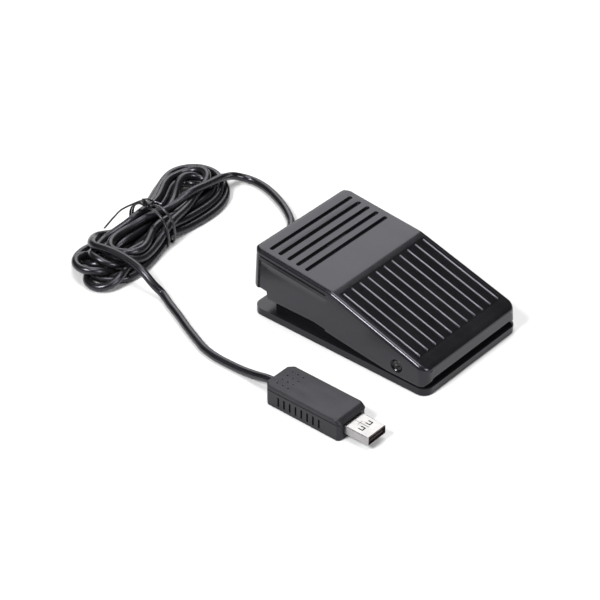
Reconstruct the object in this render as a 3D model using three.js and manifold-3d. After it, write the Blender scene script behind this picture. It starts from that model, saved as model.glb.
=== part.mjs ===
// A momentary foot switch: a wedge-shaped pedal hinged on a flat base plate near its low toe end,
// lifted by a coil spring at its high heel end, pressing a small snap-action switch. A thin cord
// leaves the heel end, is folded in a hank held by a wire tie, and ends in a USB plug whose
// housing carries the controller board.
//
// Millimetres, +Z up. The base plate lies along Y: -Y is the low toe end with the hinge, +Y the
// high heel end where the cord leaves. The origin is the middle of the footprint, on the ground.
// The pedal turns 4 degrees about its hinge at full travel. Pieces that would touch keep a gap of 0.3 mm or a little more.

import * as THREE from 'three';
import { mergeVertices } from 'three/addons/utils/BufferGeometryUtils.js';
import Module from 'manifold-3d';

const wasm = await Module();
wasm.setup();

// ---------------------------------------------------------------- driving dimensions

const GAP = 0.3;

const BASE_LENGTH = 101.3;
const BASE_WIDTH = 68;
const BASE_BOTTOM = 0.4;
const BASE_TOP = 4.0;
const BASE_CORNER = 5;

const TUB_HALF_WIDTH = 29.2;      // the low wall around the switch, standing on the base plate
const TUB_FRONT = -27;
const TUB_REAR = 42;
const TUB_TOP = 12.5;
const TUB_WALL = 1.8;

const COVER_HALF_WIDTH = 33.2;
const COVER_FRONT = -50.4;
const COVER_REAR = 50.2;
const COVER_WALL = 2;
const COVER_CORNER = 5;
const KINK_Y = 5;                 // where the heel panel meets the toe panel
const KINK_Z = 30.5;
const HEEL_SLOPE = 0.1216;        // rise per millimetre of the heel panel
const TOE_SLOPE = 0.2984;         // and of the toe panel

const HINGE_Y = -33.7;
const HINGE_Z = 9.8;
const HINGE_HEAD_RADIUS = 2.5;
const HINGE_SHANK_RADIUS = 1.5;

const CORD_RADIUS = 2;
const CORD_X = 17;                // where the cord crosses the rear wall of the tub
const CORD_Z = 8.4;

const SPRING_Y = 31;
const SPRING_RADIUS = 4.9;        // of the coil's centreline
const SPRING_WIRE = 0.55;
const SPRING_TOP = 25.2;

const SWITCH_FRONT = 1;
const SWITCH_LENGTH = 19.8;
const SWITCH_HALF_WIDTH = 3.2;
const SWITCH_BOTTOM = 10.3;
const SWITCH_TOP = 20.5;
const LEVER_PIVOT_Y = 3;
const LEVER_PIVOT_Z = 21.8;
const LEVER_REST_ANGLE = THREE.MathUtils.degToRad(14);
const LEVER_LENGTH = 17.5;
const PLUNGER_Y = 7.5;
const ACTUATOR_Z = 26.9;          // foot of the pedal's rib that presses the lever

const PLUG_X = -72.5;
const PLUG_REAR = 2;              // the face that the cord enters
const PLUG_LENGTH = 43;
const PLUG_HALF_WIDTH = 9.2;
const PLUG_HEIGHT = 10.7;
const PLUG_SPLIT = 8.4;           // parting plane of the two housing shells
const USB_Z = 5.25;

const HANK_BOTTOM = 0.2;
const HANK_TOP = 13;
const TIE_WIDTH = 1.6;
const TIE_THICK = 1;

// ---------------------------------------------------------------- solids and transforms

function solid(geometry) {
  const bare = geometry.clone();
  bare.deleteAttribute('normal');
  bare.deleteAttribute('uv');
  const merged = mergeVertices(bare, 1e-4);
  return new wasm.Manifold(new wasm.Mesh({
    numProp: 3,
    vertProperties: new Float32Array(merged.attributes.position.array),
    triVerts: new Uint32Array(merged.index.array),
  }));
}

function geometryOf(body) {
  const mesh = body.getMesh();
  const geometry = new THREE.BufferGeometry();
  geometry.setAttribute('position', new THREE.BufferAttribute(new Float32Array(mesh.vertProperties), 3));
  geometry.setIndex(new THREE.BufferAttribute(new Uint32Array(mesh.triVerts), 1));
  const flat = geometry.toNonIndexed();
  flat.computeVertexNormals();
  return flat;
}

function unionOf(bodies) {
  return bodies.reduce((whole, body) => whole.add(body));
}

function cutAll(body, cutters) {
  return cutters.reduce((left, cutter) => left.subtract(cutter), body);
}

// Box between two opposite corners.
function block(x0, x1, y0, y1, z0, z1) {
  const geometry = new THREE.BoxGeometry(x1 - x0, y1 - y0, z1 - z0);
  geometry.translate((x0 + x1) / 2, (y0 + y1) / 2, (z0 + z1) / 2);
  return geometry;
}

// Round bar between two values on one axis, centred on the other two coordinates.
function bar(axis, radius, from, to, a, b, sides = 20) {
  const geometry = new THREE.CylinderGeometry(radius, radius, to - from, sides);
  const middle = (from + to) / 2;
  if (axis === 'x') geometry.rotateZ(Math.PI / 2).translate(middle, a, b);
  if (axis === 'y') geometry.translate(a, middle, b);
  if (axis === 'z') geometry.rotateX(Math.PI / 2).translate(a, b, middle);
  return geometry;
}

// Piece turned about an axis along +Y: profile points are (radius, y).
function turned(points, x, z, sides = 24) {
  const profile = points.map(([radius, y]) => new THREE.Vector2(radius, y));
  return new THREE.LatheGeometry(profile, sides).translate(x, 0, z);
}

function shapeOf(points) {
  return new THREE.Shape(points.map(([a, b]) => new THREE.Vector2(a, b)));
}

function extruded(shape, depth, curveSegments = 6) {
  return new THREE.ExtrudeGeometry(shape, { depth, bevelEnabled: false, curveSegments });
}

// Side profile in (y, z), extruded across from x0 to x1.
function across(points, x0, x1) {
  const geometry = extruded(shapeOf(points), x1 - x0);
  geometry.applyMatrix4(new THREE.Matrix4().set(0, 0, 1, x0, 1, 0, 0, 0, 0, 1, 0, 0, 0, 0, 0, 1));
  return geometry;
}

function roundedRectangle(halfX, y0, y1, radius) {
  const shape = new THREE.Shape();
  shape.moveTo(halfX, y0 + radius);
  shape.lineTo(halfX, y1 - radius);
  shape.absarc(halfX - radius, y1 - radius, radius, 0, Math.PI / 2);
  shape.absarc(-halfX + radius, y1 - radius, radius, Math.PI / 2, Math.PI);
  shape.absarc(-halfX + radius, y0 + radius, radius, Math.PI, Math.PI * 1.5);
  shape.absarc(halfX - radius, y0 + radius, radius, Math.PI * 1.5, Math.PI * 2);
  return shape;
}

function column(halfX, y0, y1, radius, z0, z1) {
  return extruded(roundedRectangle(halfX, y0, y1, radius), z1 - z0).translate(0, 0, z0);
}

// Tube along a smooth curve.
function tube(points, radius, steps, sides = 8) {
  const section = [];
  for (let i = 0; i < sides; i += 1) {
    const turn = (i / sides) * Math.PI * 2;
    section.push([radius * Math.cos(turn), radius * Math.sin(turn)]);
  }
  const path = points instanceof THREE.Curve
    ? points
    : new THREE.CatmullRomCurve3(points.map((p) => new THREE.Vector3(...p)), false, 'centripetal');
  return new THREE.ExtrudeGeometry(shapeOf(section), { steps, bevelEnabled: false, extrudePath: path });
}

// Top surface of the pedal, before its edges are rounded.
function roofZ(y) {
  const slope = y > KINK_Y ? HEEL_SLOPE : TOE_SLOPE;
  return KINK_Z + (y - KINK_Y) * slope;
}

// ---------------------------------------------------------------- scene graph

const ABS_BLACK = { color: 0x1b1b1d, roughness: 0.35, metalness: 0 };
const ABS_INNER = { color: 0x242426, roughness: 0.55, metalness: 0 };
const RUBBER = { color: 0x161616, roughness: 0.85, metalness: 0 };
const CORD_JACKET = { color: 0x19191b, roughness: 0.45, metalness: 0 };
const STEEL = { color: 0xb9bcc0, roughness: 0.3, metalness: 1 };
const SPRING_STEEL = { color: 0x9a9da1, roughness: 0.35, metalness: 1 };
const BRASS = { color: 0xc2a15a, roughness: 0.35, metalness: 1 };
const SWITCH_PLASTIC = { color: 0x2b2d31, roughness: 0.5, metalness: 0 };
const SWITCH_BUTTON = { color: 0xb03a2e, roughness: 0.45, metalness: 0 };
const BOARD_GREEN = { color: 0x1f5b3a, roughness: 0.5, metalness: 0 };
const PORT_BLACK = { color: 0x1a1a1c, roughness: 0.5, metalness: 0 };
const GOLD = { color: 0xd8b45c, roughness: 0.3, metalness: 1 };
const LEAD_RED = { color: 0x9c2626, roughness: 0.5, metalness: 0 };
const LEAD_WHITE = { color: 0xd8d8d4, roughness: 0.5, metalness: 0 };

const pedal = new THREE.Group();
const plug = new THREE.Group();
plug.position.set(PLUG_X, PLUG_REAR, 0);
pedal.add(plug);

function addPiece(group, name, geometry, finish) {
  const mesh = new THREE.Mesh(geometry, new THREE.MeshStandardMaterial(finish));
  mesh.name = name;
  group.add(mesh);
}

// ---------------------------------------------------------------- base

const FOOT_RADIUS = 5;
const FOOT_X = 26;
const FOOT_Y = 42;
const FOOT_THICK = 1.2;
const EAR_INNER = 25;
const EAR_OUTER = 30.5;
const EAR_RADIUS = 4;
const CLAMP_FRONT = 33.5;
const CLAMP_REAR = 37.5;
const CLAMP_POST_OFFSET = 4.4;
const CLAMP_POST_TOP = CORD_Z + CORD_RADIUS;
const LEDGE_X = 25.4;
const LEDGE_HALF = 1.7;
const SWITCH_SCREW_YS = [SWITCH_FRONT + 5.2, SWITCH_FRONT + 14.7];
const SWITCH_SCREW_Z = SWITCH_BOTTOM + 2.9;
const BRACKET_THICK = 2;
const BRACKET_OUTER = -SWITCH_HALF_WIDTH - GAP - BRACKET_THICK;

const corners = [[-1, -1], [1, -1], [-1, 1], [1, 1]];

function makeBasePlate() {
  const halfY = BASE_LENGTH / 2;
  const sunk = BASE_TOP - 0.5;        // the walls start inside the plate
  const innerX = TUB_HALF_WIDTH - TUB_WALL;
  const plate = solid(column(BASE_WIDTH / 2, -halfY, halfY, BASE_CORNER, BASE_BOTTOM, BASE_TOP));
  const tub = solid(column(TUB_HALF_WIDTH, TUB_FRONT, TUB_REAR, 3, sunk, TUB_TOP))
    .subtract(solid(column(innerX, TUB_FRONT + TUB_WALL, TUB_REAR - TUB_WALL, 1.5, 0, TUB_TOP + 1)));
  const added = [tub];
  const cut = [];
  for (const side of [-1, 1]) {
    const inner = Math.min(side * EAR_INNER, side * EAR_OUTER);
    const outer = Math.max(side * EAR_INNER, side * EAR_OUTER);
    added.push(solid(bar('x', EAR_RADIUS, inner, outer, HINGE_Y, HINGE_Z)));
    added.push(solid(block(inner, outer, HINGE_Y - EAR_RADIUS, HINGE_Y + EAR_RADIUS, sunk, HINGE_Z)));
    cut.push(solid(bar('x', HINGE_SHANK_RADIUS + GAP, inner - 1, outer + 1, HINGE_Y, HINGE_Z)));
    // Ledge that the pedal's hook catches under.
    added.push(solid(block(
      side * LEDGE_X - LEDGE_HALF, side * LEDGE_X + LEDGE_HALF, 37, TUB_REAR - 1, TUB_TOP - 0.7, TUB_TOP + 0.8,
    )));
  }
  // Cup around the foot of the return spring.
  const cup = solid(bar('z', SPRING_RADIUS + SPRING_WIRE + 2.1, sunk, BASE_TOP + 3.5, 0, SPRING_Y, 28));
  const cupBore = solid(bar('z', SPRING_RADIUS + SPRING_WIRE + 0.8, BASE_TOP, BASE_TOP + 5, 0, SPRING_Y, 28));
  added.push(cup.subtract(cupBore));
  // Bracket wall that the switch is screwed to.
  added.push(solid(block(
    BRACKET_OUTER, BRACKET_OUTER + BRACKET_THICK, SWITCH_FRONT, SWITCH_FRONT + SWITCH_LENGTH, sunk, SWITCH_TOP - 1.5,
  )));
  for (const y of SWITCH_SCREW_YS) {
    cut.push(solid(bar('x', 1.3, BRACKET_OUTER - 1, BRACKET_OUTER + 3, y, SWITCH_SCREW_Z, 12)));
  }
  // Saddle and posts of the cord clamp.
  const clampY = (CLAMP_FRONT + CLAMP_REAR) / 2;
  added.push(solid(block(
    CORD_X - 2.4, CORD_X + 2.4, CLAMP_FRONT, CLAMP_REAR, sunk, CORD_Z - CORD_RADIUS - GAP,
  )));
  for (const side of [-1, 1]) {
    const x = CORD_X + side * CLAMP_POST_OFFSET;
    added.push(solid(bar('z', 1.9, sunk, CLAMP_POST_TOP, x, clampY)));
    cut.push(solid(bar('z', 1.2, BASE_TOP + 1, CLAMP_POST_TOP + 1, x, clampY, 12)));
  }
  // Hole for the strain relief, and the recesses of the rubber feet.
  cut.push(solid(bar('y', 3.2, TUB_REAR - TUB_WALL - 1, TUB_REAR + 1, CORD_X, CORD_Z)));
  for (const [sx, sy] of corners) {
    cut.push(solid(bar('z', FOOT_RADIUS + GAP, -1, FOOT_THICK + GAP, sx * FOOT_X, sy * FOOT_Y, 24)));
  }
  return cutAll(unionOf([plate, ...added]), cut);
}

addPiece(pedal, 'base_plate', geometryOf(makeBasePlate()), ABS_BLACK);

corners.forEach(([sx, sy], i) => {
  const foot = bar('z', FOOT_RADIUS, 0, FOOT_THICK, sx * FOOT_X, sy * FOOT_Y, 24);
  addPiece(pedal, `rubber_foot_${i + 1}`, foot, RUBBER);
});

// ---------------------------------------------------------------- hinge screws

const COUNTERBORE_FLOOR = COVER_HALF_WIDTH - 1.4;

// Pan head with a cross recess, and the smooth shank that the pedal turns on. Built for the +X
// side, pointing inward along -X.
function makeHingeScrew(side) {
  const headTop = COVER_HALF_WIDTH - 0.2;
  const headSeat = COUNTERBORE_FLOOR + GAP;
  const span = (a, b) => [Math.min(side * a, side * b), Math.max(side * a, side * b)];
  const [h0, h1] = span(headSeat, headTop);
  const [s0, s1] = span(EAR_INNER - 0.6, headSeat + 0.4);
  const [r0, r1] = span(headTop - 0.55, headTop + 1);
  const head = solid(bar('x', HINGE_HEAD_RADIUS, h0, h1, HINGE_Y, HINGE_Z));
  const shank = solid(bar('x', HINGE_SHANK_RADIUS, s0, s1, HINGE_Y, HINGE_Z));
  const crossA = solid(block(r0, r1, HINGE_Y - 1.5, HINGE_Y + 1.5, HINGE_Z - 0.35, HINGE_Z + 0.35));
  const crossB = solid(block(r0, r1, HINGE_Y - 0.35, HINGE_Y + 0.35, HINGE_Z - 1.5, HINGE_Z + 1.5));
  return cutAll(head.add(shank), [crossA, crossB]);
}

addPiece(pedal, 'hinge_screw_left', geometryOf(makeHingeScrew(-1)), STEEL);
addPiece(pedal, 'hinge_screw_right', geometryOf(makeHingeScrew(1)), STEEL);

// ---------------------------------------------------------------- snap-action switch

const LUG_INNER = 2;
const TERMINAL_YS = [SWITCH_FRONT + 2.4, SWITCH_FRONT + 10, SWITCH_FRONT + 17.4];
const TERMINAL_THICK = 0.5;
const TERMINAL_TOP = SWITCH_BOTTOM + 2.3;
const PLUNGER_RADIUS = 0.9;
const PLUNGER_TOP = 22.3;
const PLUNGER_FOOT = 17.6;

function makeSwitchCase() {
  const half = SWITCH_HALF_WIDTH;
  const body = solid(block(-half, half, SWITCH_FRONT, SWITCH_FRONT + SWITCH_LENGTH, SWITCH_BOTTOM, SWITCH_TOP));
  const added = [];
  const cut = [];
  for (const side of [-1, 1]) {
    const x0 = Math.min(side * LUG_INNER, side * half);
    const x1 = Math.max(side * LUG_INNER, side * half);
    added.push(solid(block(x0, x1, LEVER_PIVOT_Y - 1.5, LEVER_PIVOT_Y + 1.5, SWITCH_TOP - 0.5, LEVER_PIVOT_Z + 1.5)));
    cut.push(solid(bar('x', 0.8, x0 - 0.5, x1 + 0.5, LEVER_PIVOT_Y, LEVER_PIVOT_Z, 12)));
  }
  for (const y of SWITCH_SCREW_YS) {
    cut.push(solid(bar('x', 1.3, -half - 1, half + 1, y, SWITCH_SCREW_Z, 12)));
  }
  for (const y of TERMINAL_YS) {
    cut.push(solid(block(-1.9, 1.9, y - 0.55, y + 0.55, SWITCH_BOTTOM - 1, TERMINAL_TOP + GAP)));
  }
  cut.push(solid(bar('z', PLUNGER_RADIUS + GAP, PLUNGER_FOOT - 1.6, SWITCH_TOP + 1, 0, PLUNGER_Y, 16)));
  return cutAll(unionOf([body, ...added]), cut);
}

addPiece(pedal, 'microswitch_case', geometryOf(makeSwitchCase()), SWITCH_PLASTIC);

const plungerBody = bar('z', PLUNGER_RADIUS, PLUNGER_FOOT, PLUNGER_TOP, 0, PLUNGER_Y, 16);
addPiece(pedal, 'microswitch_plunger', plungerBody, SWITCH_BUTTON);

// Sheet lever, rolled around its pin at the pivot and bent up a little at the tip.
function makeLever() {
  const thick = 0.25;
  const strip = solid(across([
    [0, -thick], [LEVER_LENGTH - 2, -thick], [LEVER_LENGTH, thick], [LEVER_LENGTH, thick * 2.4],
    [LEVER_LENGTH - 2.4, thick], [0, thick],
  ], -1.7, 1.7));
  const roll = solid(bar('x', 0.9, -1.7, 1.7, 0, 0, 14));
  const pin = solid(bar('x', 0.5, -3.1, 3.1, 0, 0, 10));
  return geometryOf(unionOf([strip, roll, pin]))
    .rotateX(LEVER_REST_ANGLE)
    .translate(0, LEVER_PIVOT_Y, LEVER_PIVOT_Z);
}

addPiece(pedal, 'microswitch_lever', makeLever(), SPRING_STEEL);

['terminal_common', 'terminal_closed', 'terminal_open'].forEach((name, i) => {
  const y = TERMINAL_YS[i];
  const blade = solid(block(-1.6, 1.6, y - TERMINAL_THICK / 2, y + TERMINAL_THICK / 2, 5.4, TERMINAL_TOP));
  const eye = solid(bar('y', 0.6, y - 1, y + 1, 0, 6.6, 12));
  addPiece(pedal, name, geometryOf(blade.subtract(eye)), BRASS);
});

SWITCH_SCREW_YS.forEach((y, i) => {
  const head = solid(bar('x', 1.9, SWITCH_HALF_WIDTH + GAP, SWITCH_HALF_WIDTH + 1.5, y, SWITCH_SCREW_Z, 16));
  const shank = solid(bar('x', 1, BRACKET_OUTER - 0.6, SWITCH_HALF_WIDTH + 0.5, y, SWITCH_SCREW_Z, 12));
  const slot = solid(block(SWITCH_HALF_WIDTH + 1, 6, y - 1.3, y + 1.3, SWITCH_SCREW_Z - 0.3, SWITCH_SCREW_Z + 0.3));
  addPiece(pedal, `switch_screw_${i + 1}`, geometryOf(head.add(shank).subtract(slot)), STEEL);
});

// ---------------------------------------------------------------- return spring

// Compression spring with one closed turn at each end.
class SpringCurve extends THREE.Curve {
  getPoint(t, target = new THREE.Vector3()) {
    const turns = 8;
    const closed = 1;
    const closedPitch = 1.35;
    const low = BASE_TOP + GAP + SPRING_WIRE;
    const high = SPRING_TOP - SPRING_WIRE;
    const turn = t * turns;
    const middle = (high - low - 2 * closed * closedPitch) / (turns - 2 * closed);
    let z = low + Math.min(turn, closed) * closedPitch;
    z += Math.min(Math.max(turn - closed, 0), turns - 2 * closed) * middle;
    z += Math.max(turn - (turns - closed), 0) * closedPitch;
    const angle = turn * Math.PI * 2;
    return target.set(SPRING_RADIUS * Math.cos(angle), SPRING_Y + SPRING_RADIUS * Math.sin(angle), z);
  }
}

addPiece(pedal, 'return_spring', tube(new SpringCurve(), SPRING_WIRE, 112, 6), SPRING_STEEL);

// ---------------------------------------------------------------- cord entry

const RELIEF_END = 62.4;

// Strain relief: a grooved collar snapped in the tub's rear wall, and its tapered tail.
const wallInside = TUB_REAR - TUB_WALL;
addPiece(pedal, 'strain_relief', turned([
  [0, wallInside - 1.5], [4, wallInside - 1.5], [4, wallInside - GAP], [2.9, wallInside - GAP],
  [2.9, TUB_REAR + GAP], [4, TUB_REAR + GAP], [4, TUB_REAR + 1.9], [3.4, TUB_REAR + 1.9],
  [2.5, RELIEF_END], [0, RELIEF_END],
], CORD_X, CORD_Z), RUBBER);

const innerCord = bar('y', CORD_RADIUS, 32.9, wallInside - 1.5 - GAP, CORD_X, CORD_Z, 16);
addPiece(pedal, 'inner_cord_end', innerCord, CORD_JACKET);

function makeCordClamp() {
  const bottom = CLAMP_POST_TOP + GAP;
  const clampY = (CLAMP_FRONT + CLAMP_REAR) / 2;
  const strap = solid(block(CORD_X - 6.3, CORD_X + 6.3, CLAMP_FRONT, CLAMP_REAR, bottom, bottom + 2));
  const holes = [-1, 1].map((side) => solid(
    bar('z', 1.3, bottom - 1, bottom + 3, CORD_X + side * CLAMP_POST_OFFSET, clampY, 12),
  ));
  return cutAll(strap, holes);
}

addPiece(pedal, 'cord_clamp', geometryOf(makeCordClamp()), ABS_INNER);

[-1, 1].forEach((side, i) => {
  const seat = CLAMP_POST_TOP + GAP + 2 + GAP;
  const x = CORD_X + side * CLAMP_POST_OFFSET;
  const y = (CLAMP_FRONT + CLAMP_REAR) / 2;
  const head = solid(bar('z', 1.9, seat, seat + 1.3, x, y, 16));
  const shank = solid(bar('z', 0.9, BASE_TOP + 1.5, seat + 0.2, x, y, 12));
  const slot = solid(block(x - 1.4, x + 1.4, y - 0.3, y + 0.3, seat + 0.8, seat + 2));
  addPiece(pedal, `clamp_screw_${i + 1}`, geometryOf(head.add(shank).subtract(slot)), STEEL);
});

// Two insulated leads from the switch to the stripped end of the cord.
addPiece(pedal, 'lead_common', tube([
  [2.5, TERMINAL_YS[0], 6.2], [5.5, 6.5, 5.1], [10.5, 15, 5.1], [15.5, 24, 5.2], [18.4, 29.5, 7.2], [18.6, 32.5, CORD_Z],
], 0.5, 22, 6), LEAD_RED);
addPiece(pedal, 'lead_open', tube([
  [2.5, TERMINAL_YS[2], 6.2], [6, 20, 5.1], [11.5, 23.4, 5.1], [15, 28, 6.6], [16.2, 32.5, CORD_Z],
], 0.5, 18, 6), LEAD_WHITE);

// ---------------------------------------------------------------- pedal cover

const GROOVE_YS = [22.9, 28.15, 33.4, 38.65, 43.9];
const GROOVE_HALF_LENGTH = 28.5;
const GROOVE_HALF_WIDTH = 0.85;
const GROOVE_DEPTH = 1;
const RIB_COUNT = 11;
const RIB_PITCH = 5.7;
const RIB_HALF_WIDTH = 0.45;
const RIB_HEIGHT = 0.45;
const RIB_TOP_END = 1;
const RIB_LOW_END = -42.1;
const HOOK_HALF = 1.6;

// Outline of the cover seen from the side. The skirt is cut up behind the tub, so the heel end
// overhangs the base plate, and it stays clear of the plate at full travel.
const coverProfile = [
  [COVER_FRONT, 5], [COVER_FRONT, 12.9], [COVER_FRONT + 1.2, roofZ(COVER_FRONT + 1.2)],
  [KINK_Y, KINK_Z], [48.6, roofZ(48.6)], [COVER_REAR - 0.3, 34.4], [COVER_REAR, 15],
  [48.7, 14.6], [43.1, 13.9], [42.4, 10.2], [15, 10.4], [1.8, 8.5], [-15.7, 6.3], [-29, 4.7], [-46, 4.7],
];

function makeCoverShell() {
  const half = COVER_HALF_WIDTH;
  const wall = COVER_WALL;
  const outer = solid(across(coverProfile, -half, half))
    .intersect(solid(column(half, COVER_FRONT, COVER_REAR, COVER_CORNER, 0, 40)));
  const front = COVER_FRONT + wall;
  const rear = COVER_REAR - wall;
  const hollow = solid(across([
    [front, -1], [front, roofZ(front) - wall], [KINK_Y, KINK_Z - wall], [rear, roofZ(rear) - wall], [rear, -1],
  ], -half + wall, half - wall))
    .intersect(solid(column(half - wall, front, rear, COVER_CORNER - wall, -1, 40)));
  return { outer, hollow, shell: outer.subtract(hollow) };
}

// Feature on a sloping top panel: x and y run along the panel, z stands on it.
function onRoof(geometry, y) {
  const angle = Math.atan(y > KINK_Y ? HEEL_SLOPE : TOE_SLOPE);
  return geometry.rotateX(angle).translate(0, y, roofZ(y));
}

function makeGroove(y) {
  const slot = new THREE.Shape();
  slot.absarc(GROOVE_HALF_LENGTH, 0, GROOVE_HALF_WIDTH, -Math.PI / 2, Math.PI / 2);
  slot.absarc(-GROOVE_HALF_LENGTH, 0, GROOVE_HALF_WIDTH, Math.PI / 2, Math.PI * 1.5);
  return solid(onRoof(extruded(slot, GROOVE_DEPTH + 1, 5).translate(0, 0, -GROOVE_DEPTH), y));
}

function makeRib(x) {
  const middle = (RIB_TOP_END + RIB_LOW_END) / 2;
  const half = (RIB_TOP_END - RIB_LOW_END) / 2 / Math.cos(Math.atan(TOE_SLOPE));
  const rib = block(x - RIB_HALF_WIDTH, x + RIB_HALF_WIDTH, -half, half, -0.5, RIB_HEIGHT);
  return solid(onRoof(rib, middle));
}

function makeCover() {
  const { outer, shell } = makeCoverShell();
  const inside = [
    // Rib that presses the switch lever.
    solid(block(-4, 4, 16, 19.5, ACTUATOR_Z, 34)),
    // Seat and stud that centre the spring.
    solid(bar('z', 7, SPRING_TOP + GAP, 36, 0, SPRING_Y, 24)),
    solid(bar('z', 2.6, SPRING_TOP - 3.2, 36, 0, SPRING_Y, 16)),
  ];
  for (const side of [-1, 1]) {
    const x = side * LEDGE_X;
    const lipBottom = TUB_TOP - 0.7 - 0.4 - 1.5;
    inside.push(solid(block(x - HOOK_HALF, x + HOOK_HALF, 34.6, 36.2, lipBottom, 35)));
    inside.push(solid(block(x - HOOK_HALF, x + HOOK_HALF, 34.6, 38.4, lipBottom, lipBottom + 1.5)));
    // Pad around the hinge screw.
    const x0 = Math.min(side * (EAR_OUTER + GAP), side * (COVER_HALF_WIDTH - 1));
    const x1 = Math.max(side * (EAR_OUTER + GAP), side * (COVER_HALF_WIDTH - 1));
    inside.push(solid(bar('x', 4.6, x0, x1, HINGE_Y, HINGE_Z)));
  }
  // Stiffening ribs across the roof.
  for (const y of [-38, -20, -4]) {
    inside.push(solid(block(-31.5, 31.5, y - 0.7, y + 0.7, roofZ(y) - 5, roofZ(y))));
  }
  const whole = shell.add(unionOf(inside).intersect(outer));
  const ribs = [];
  for (let i = 0; i < RIB_COUNT; i += 1) {
    ribs.push(makeRib((i - (RIB_COUNT - 1) / 2) * RIB_PITCH));
  }
  const cut = GROOVE_YS.map(makeGroove);
  for (const side of [-1, 1]) {
    const outerX = side * (COVER_HALF_WIDTH + 1);
    const floorX = side * COUNTERBORE_FLOOR;
    const innerX = side * (EAR_OUTER - 1);
    const bore = [Math.min(outerX, floorX), Math.max(outerX, floorX)];
    const hole = [Math.min(outerX, innerX), Math.max(outerX, innerX)];
    cut.push(solid(bar('x', HINGE_HEAD_RADIUS + 0.4, ...bore, HINGE_Y, HINGE_Z)));
    cut.push(solid(bar('x', HINGE_SHANK_RADIUS + GAP, ...hole, HINGE_Y, HINGE_Z)));
  }
  // Arch over the cord, and the raised middle of the toe wall's lower edge.
  cut.push(solid(bar('y', 4.5, COVER_REAR - 4, COVER_REAR + 2, CORD_X, 15, 20)));
  const toeGap = extruded(shapeOf([[-30, 3], [-29.5, 4.9], [-20, 7.6], [0, 8], [20, 7.6], [29.5, 4.9], [30, 3]]), 6)
    .rotateX(Math.PI / 2)
    .translate(0, COVER_FRONT + 5, 0);
  cut.push(solid(toeGap));
  return cutAll(whole.add(unionOf(ribs)), cut);
}

addPiece(pedal, 'pedal_cover', geometryOf(makeCover()), ABS_BLACK);

// ---------------------------------------------------------------- free cord

// Route from the strain relief, down to the ground and around to the hank.
const cordToHank = [
  [17, 63.1, 8.4], [17.3, 67, 7.8], [19, 71.5, 5.8], [22.5, 76, 3.6], [27, 80, 2.4], [31.5, 83.6, 2.1],
  [35.4, 88.6, 2.1], [39.3, 95, 2.1], [43.4, 103.9, 2.1], [46.2, 112.5, 2.1], [47.2, 120, 2.1],
  [45.9, 125.2, 2.7], [42.6, 128.6, 4.2], [41.3, 129.3, 4.8],
];

// Route from the hank, down on the ground and round to the plug.
const cordToPlug = [
  [-53.9, 108.3, 9], [-53.8, 105, 8.4], [-53.4, 100, 7], [-52.9, 95, 4.8], [-53.2, 90.2, 2.9],
  [-54.6, 86, 2.1], [-56.8, 81.5, 2.1], [-60.9, 71.8, 2.1], [-65.2, 62.5, 2.1], [-69.1, 53, 2.1],
  [-71.7, 46, 2.1], [-73, 38, 2.1], [-73, 29.9, 2.1], [-72.8, 22, 2.4], [-72.7, 14, 3.6],
  [-72.5, 7.5, 4.9], [-72.5, 2.3, USB_Z],
];

addPiece(pedal, 'cord_to_hank', tube(cordToHank, CORD_RADIUS, 26), CORD_JACKET);
addPiece(pedal, 'cord_to_plug', tube(cordToPlug, CORD_RADIUS, 34), CORD_JACKET);

// Outer shape of the folded turns: two round ends drawn in to a waist where the tie holds them.
const HANK_LEFT = { x: -54, y: 126.5, radius: 17 };
const HANK_RIGHT = { x: 24, y: 138.5, radius: 18.5 };
const WAIST = { x: -18, y: 129.6, halfWidth: 12 };
const HANK_TURN = Math.atan2(HANK_RIGHT.y - HANK_LEFT.y, HANK_RIGHT.x - HANK_LEFT.x);

function hankOutline() {
  const { x: lx, y: ly, radius: lr } = HANK_LEFT;
  const { x: rx, y: ry, radius: rr } = HANK_RIGHT;
  const across90 = Math.PI / 2;
  const near = [WAIST.x + WAIST.halfWidth * Math.sin(HANK_TURN), WAIST.y - WAIST.halfWidth * Math.cos(HANK_TURN)];
  const far = [2 * WAIST.x - near[0], 2 * WAIST.y - near[1]];
  const tangent = (point, reach) => [
    point[0] + reach * Math.cos(HANK_TURN), point[1] + reach * Math.sin(HANK_TURN),
  ];
  const shape = new THREE.Shape();
  shape.absarc(lx, ly, lr, HANK_TURN + across90, HANK_TURN + across90 * 3);
  const leftLow = tangent([lx + lr * Math.sin(HANK_TURN), ly - lr * Math.cos(HANK_TURN)], 14);
  const rightLow = tangent([rx + rr * Math.sin(HANK_TURN), ry - rr * Math.cos(HANK_TURN)], -16);
  shape.bezierCurveTo(...leftLow, ...tangent(near, -14), ...near);
  shape.bezierCurveTo(...tangent(near, 14), ...rightLow,
    rx + rr * Math.sin(HANK_TURN), ry - rr * Math.cos(HANK_TURN));
  shape.absarc(rx, ry, rr, HANK_TURN - across90, HANK_TURN + across90);
  const rightHigh = tangent([rx - rr * Math.sin(HANK_TURN), ry + rr * Math.cos(HANK_TURN)], -16);
  const leftHigh = tangent([lx - lr * Math.sin(HANK_TURN), ly + lr * Math.cos(HANK_TURN)], 14);
  shape.bezierCurveTo(...rightHigh, ...tangent(far, 14), ...far);
  shape.bezierCurveTo(...tangent(far, -14), ...leftHigh,
    lx - lr * Math.sin(HANK_TURN), ly + lr * Math.cos(HANK_TURN));
  return shape;
}

// Places a piece made around the waist's middle, with x along the hank.
function atWaist(geometry) {
  return geometry.rotateZ(HANK_TURN).translate(WAIST.x, WAIST.y, 0);
}

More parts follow.
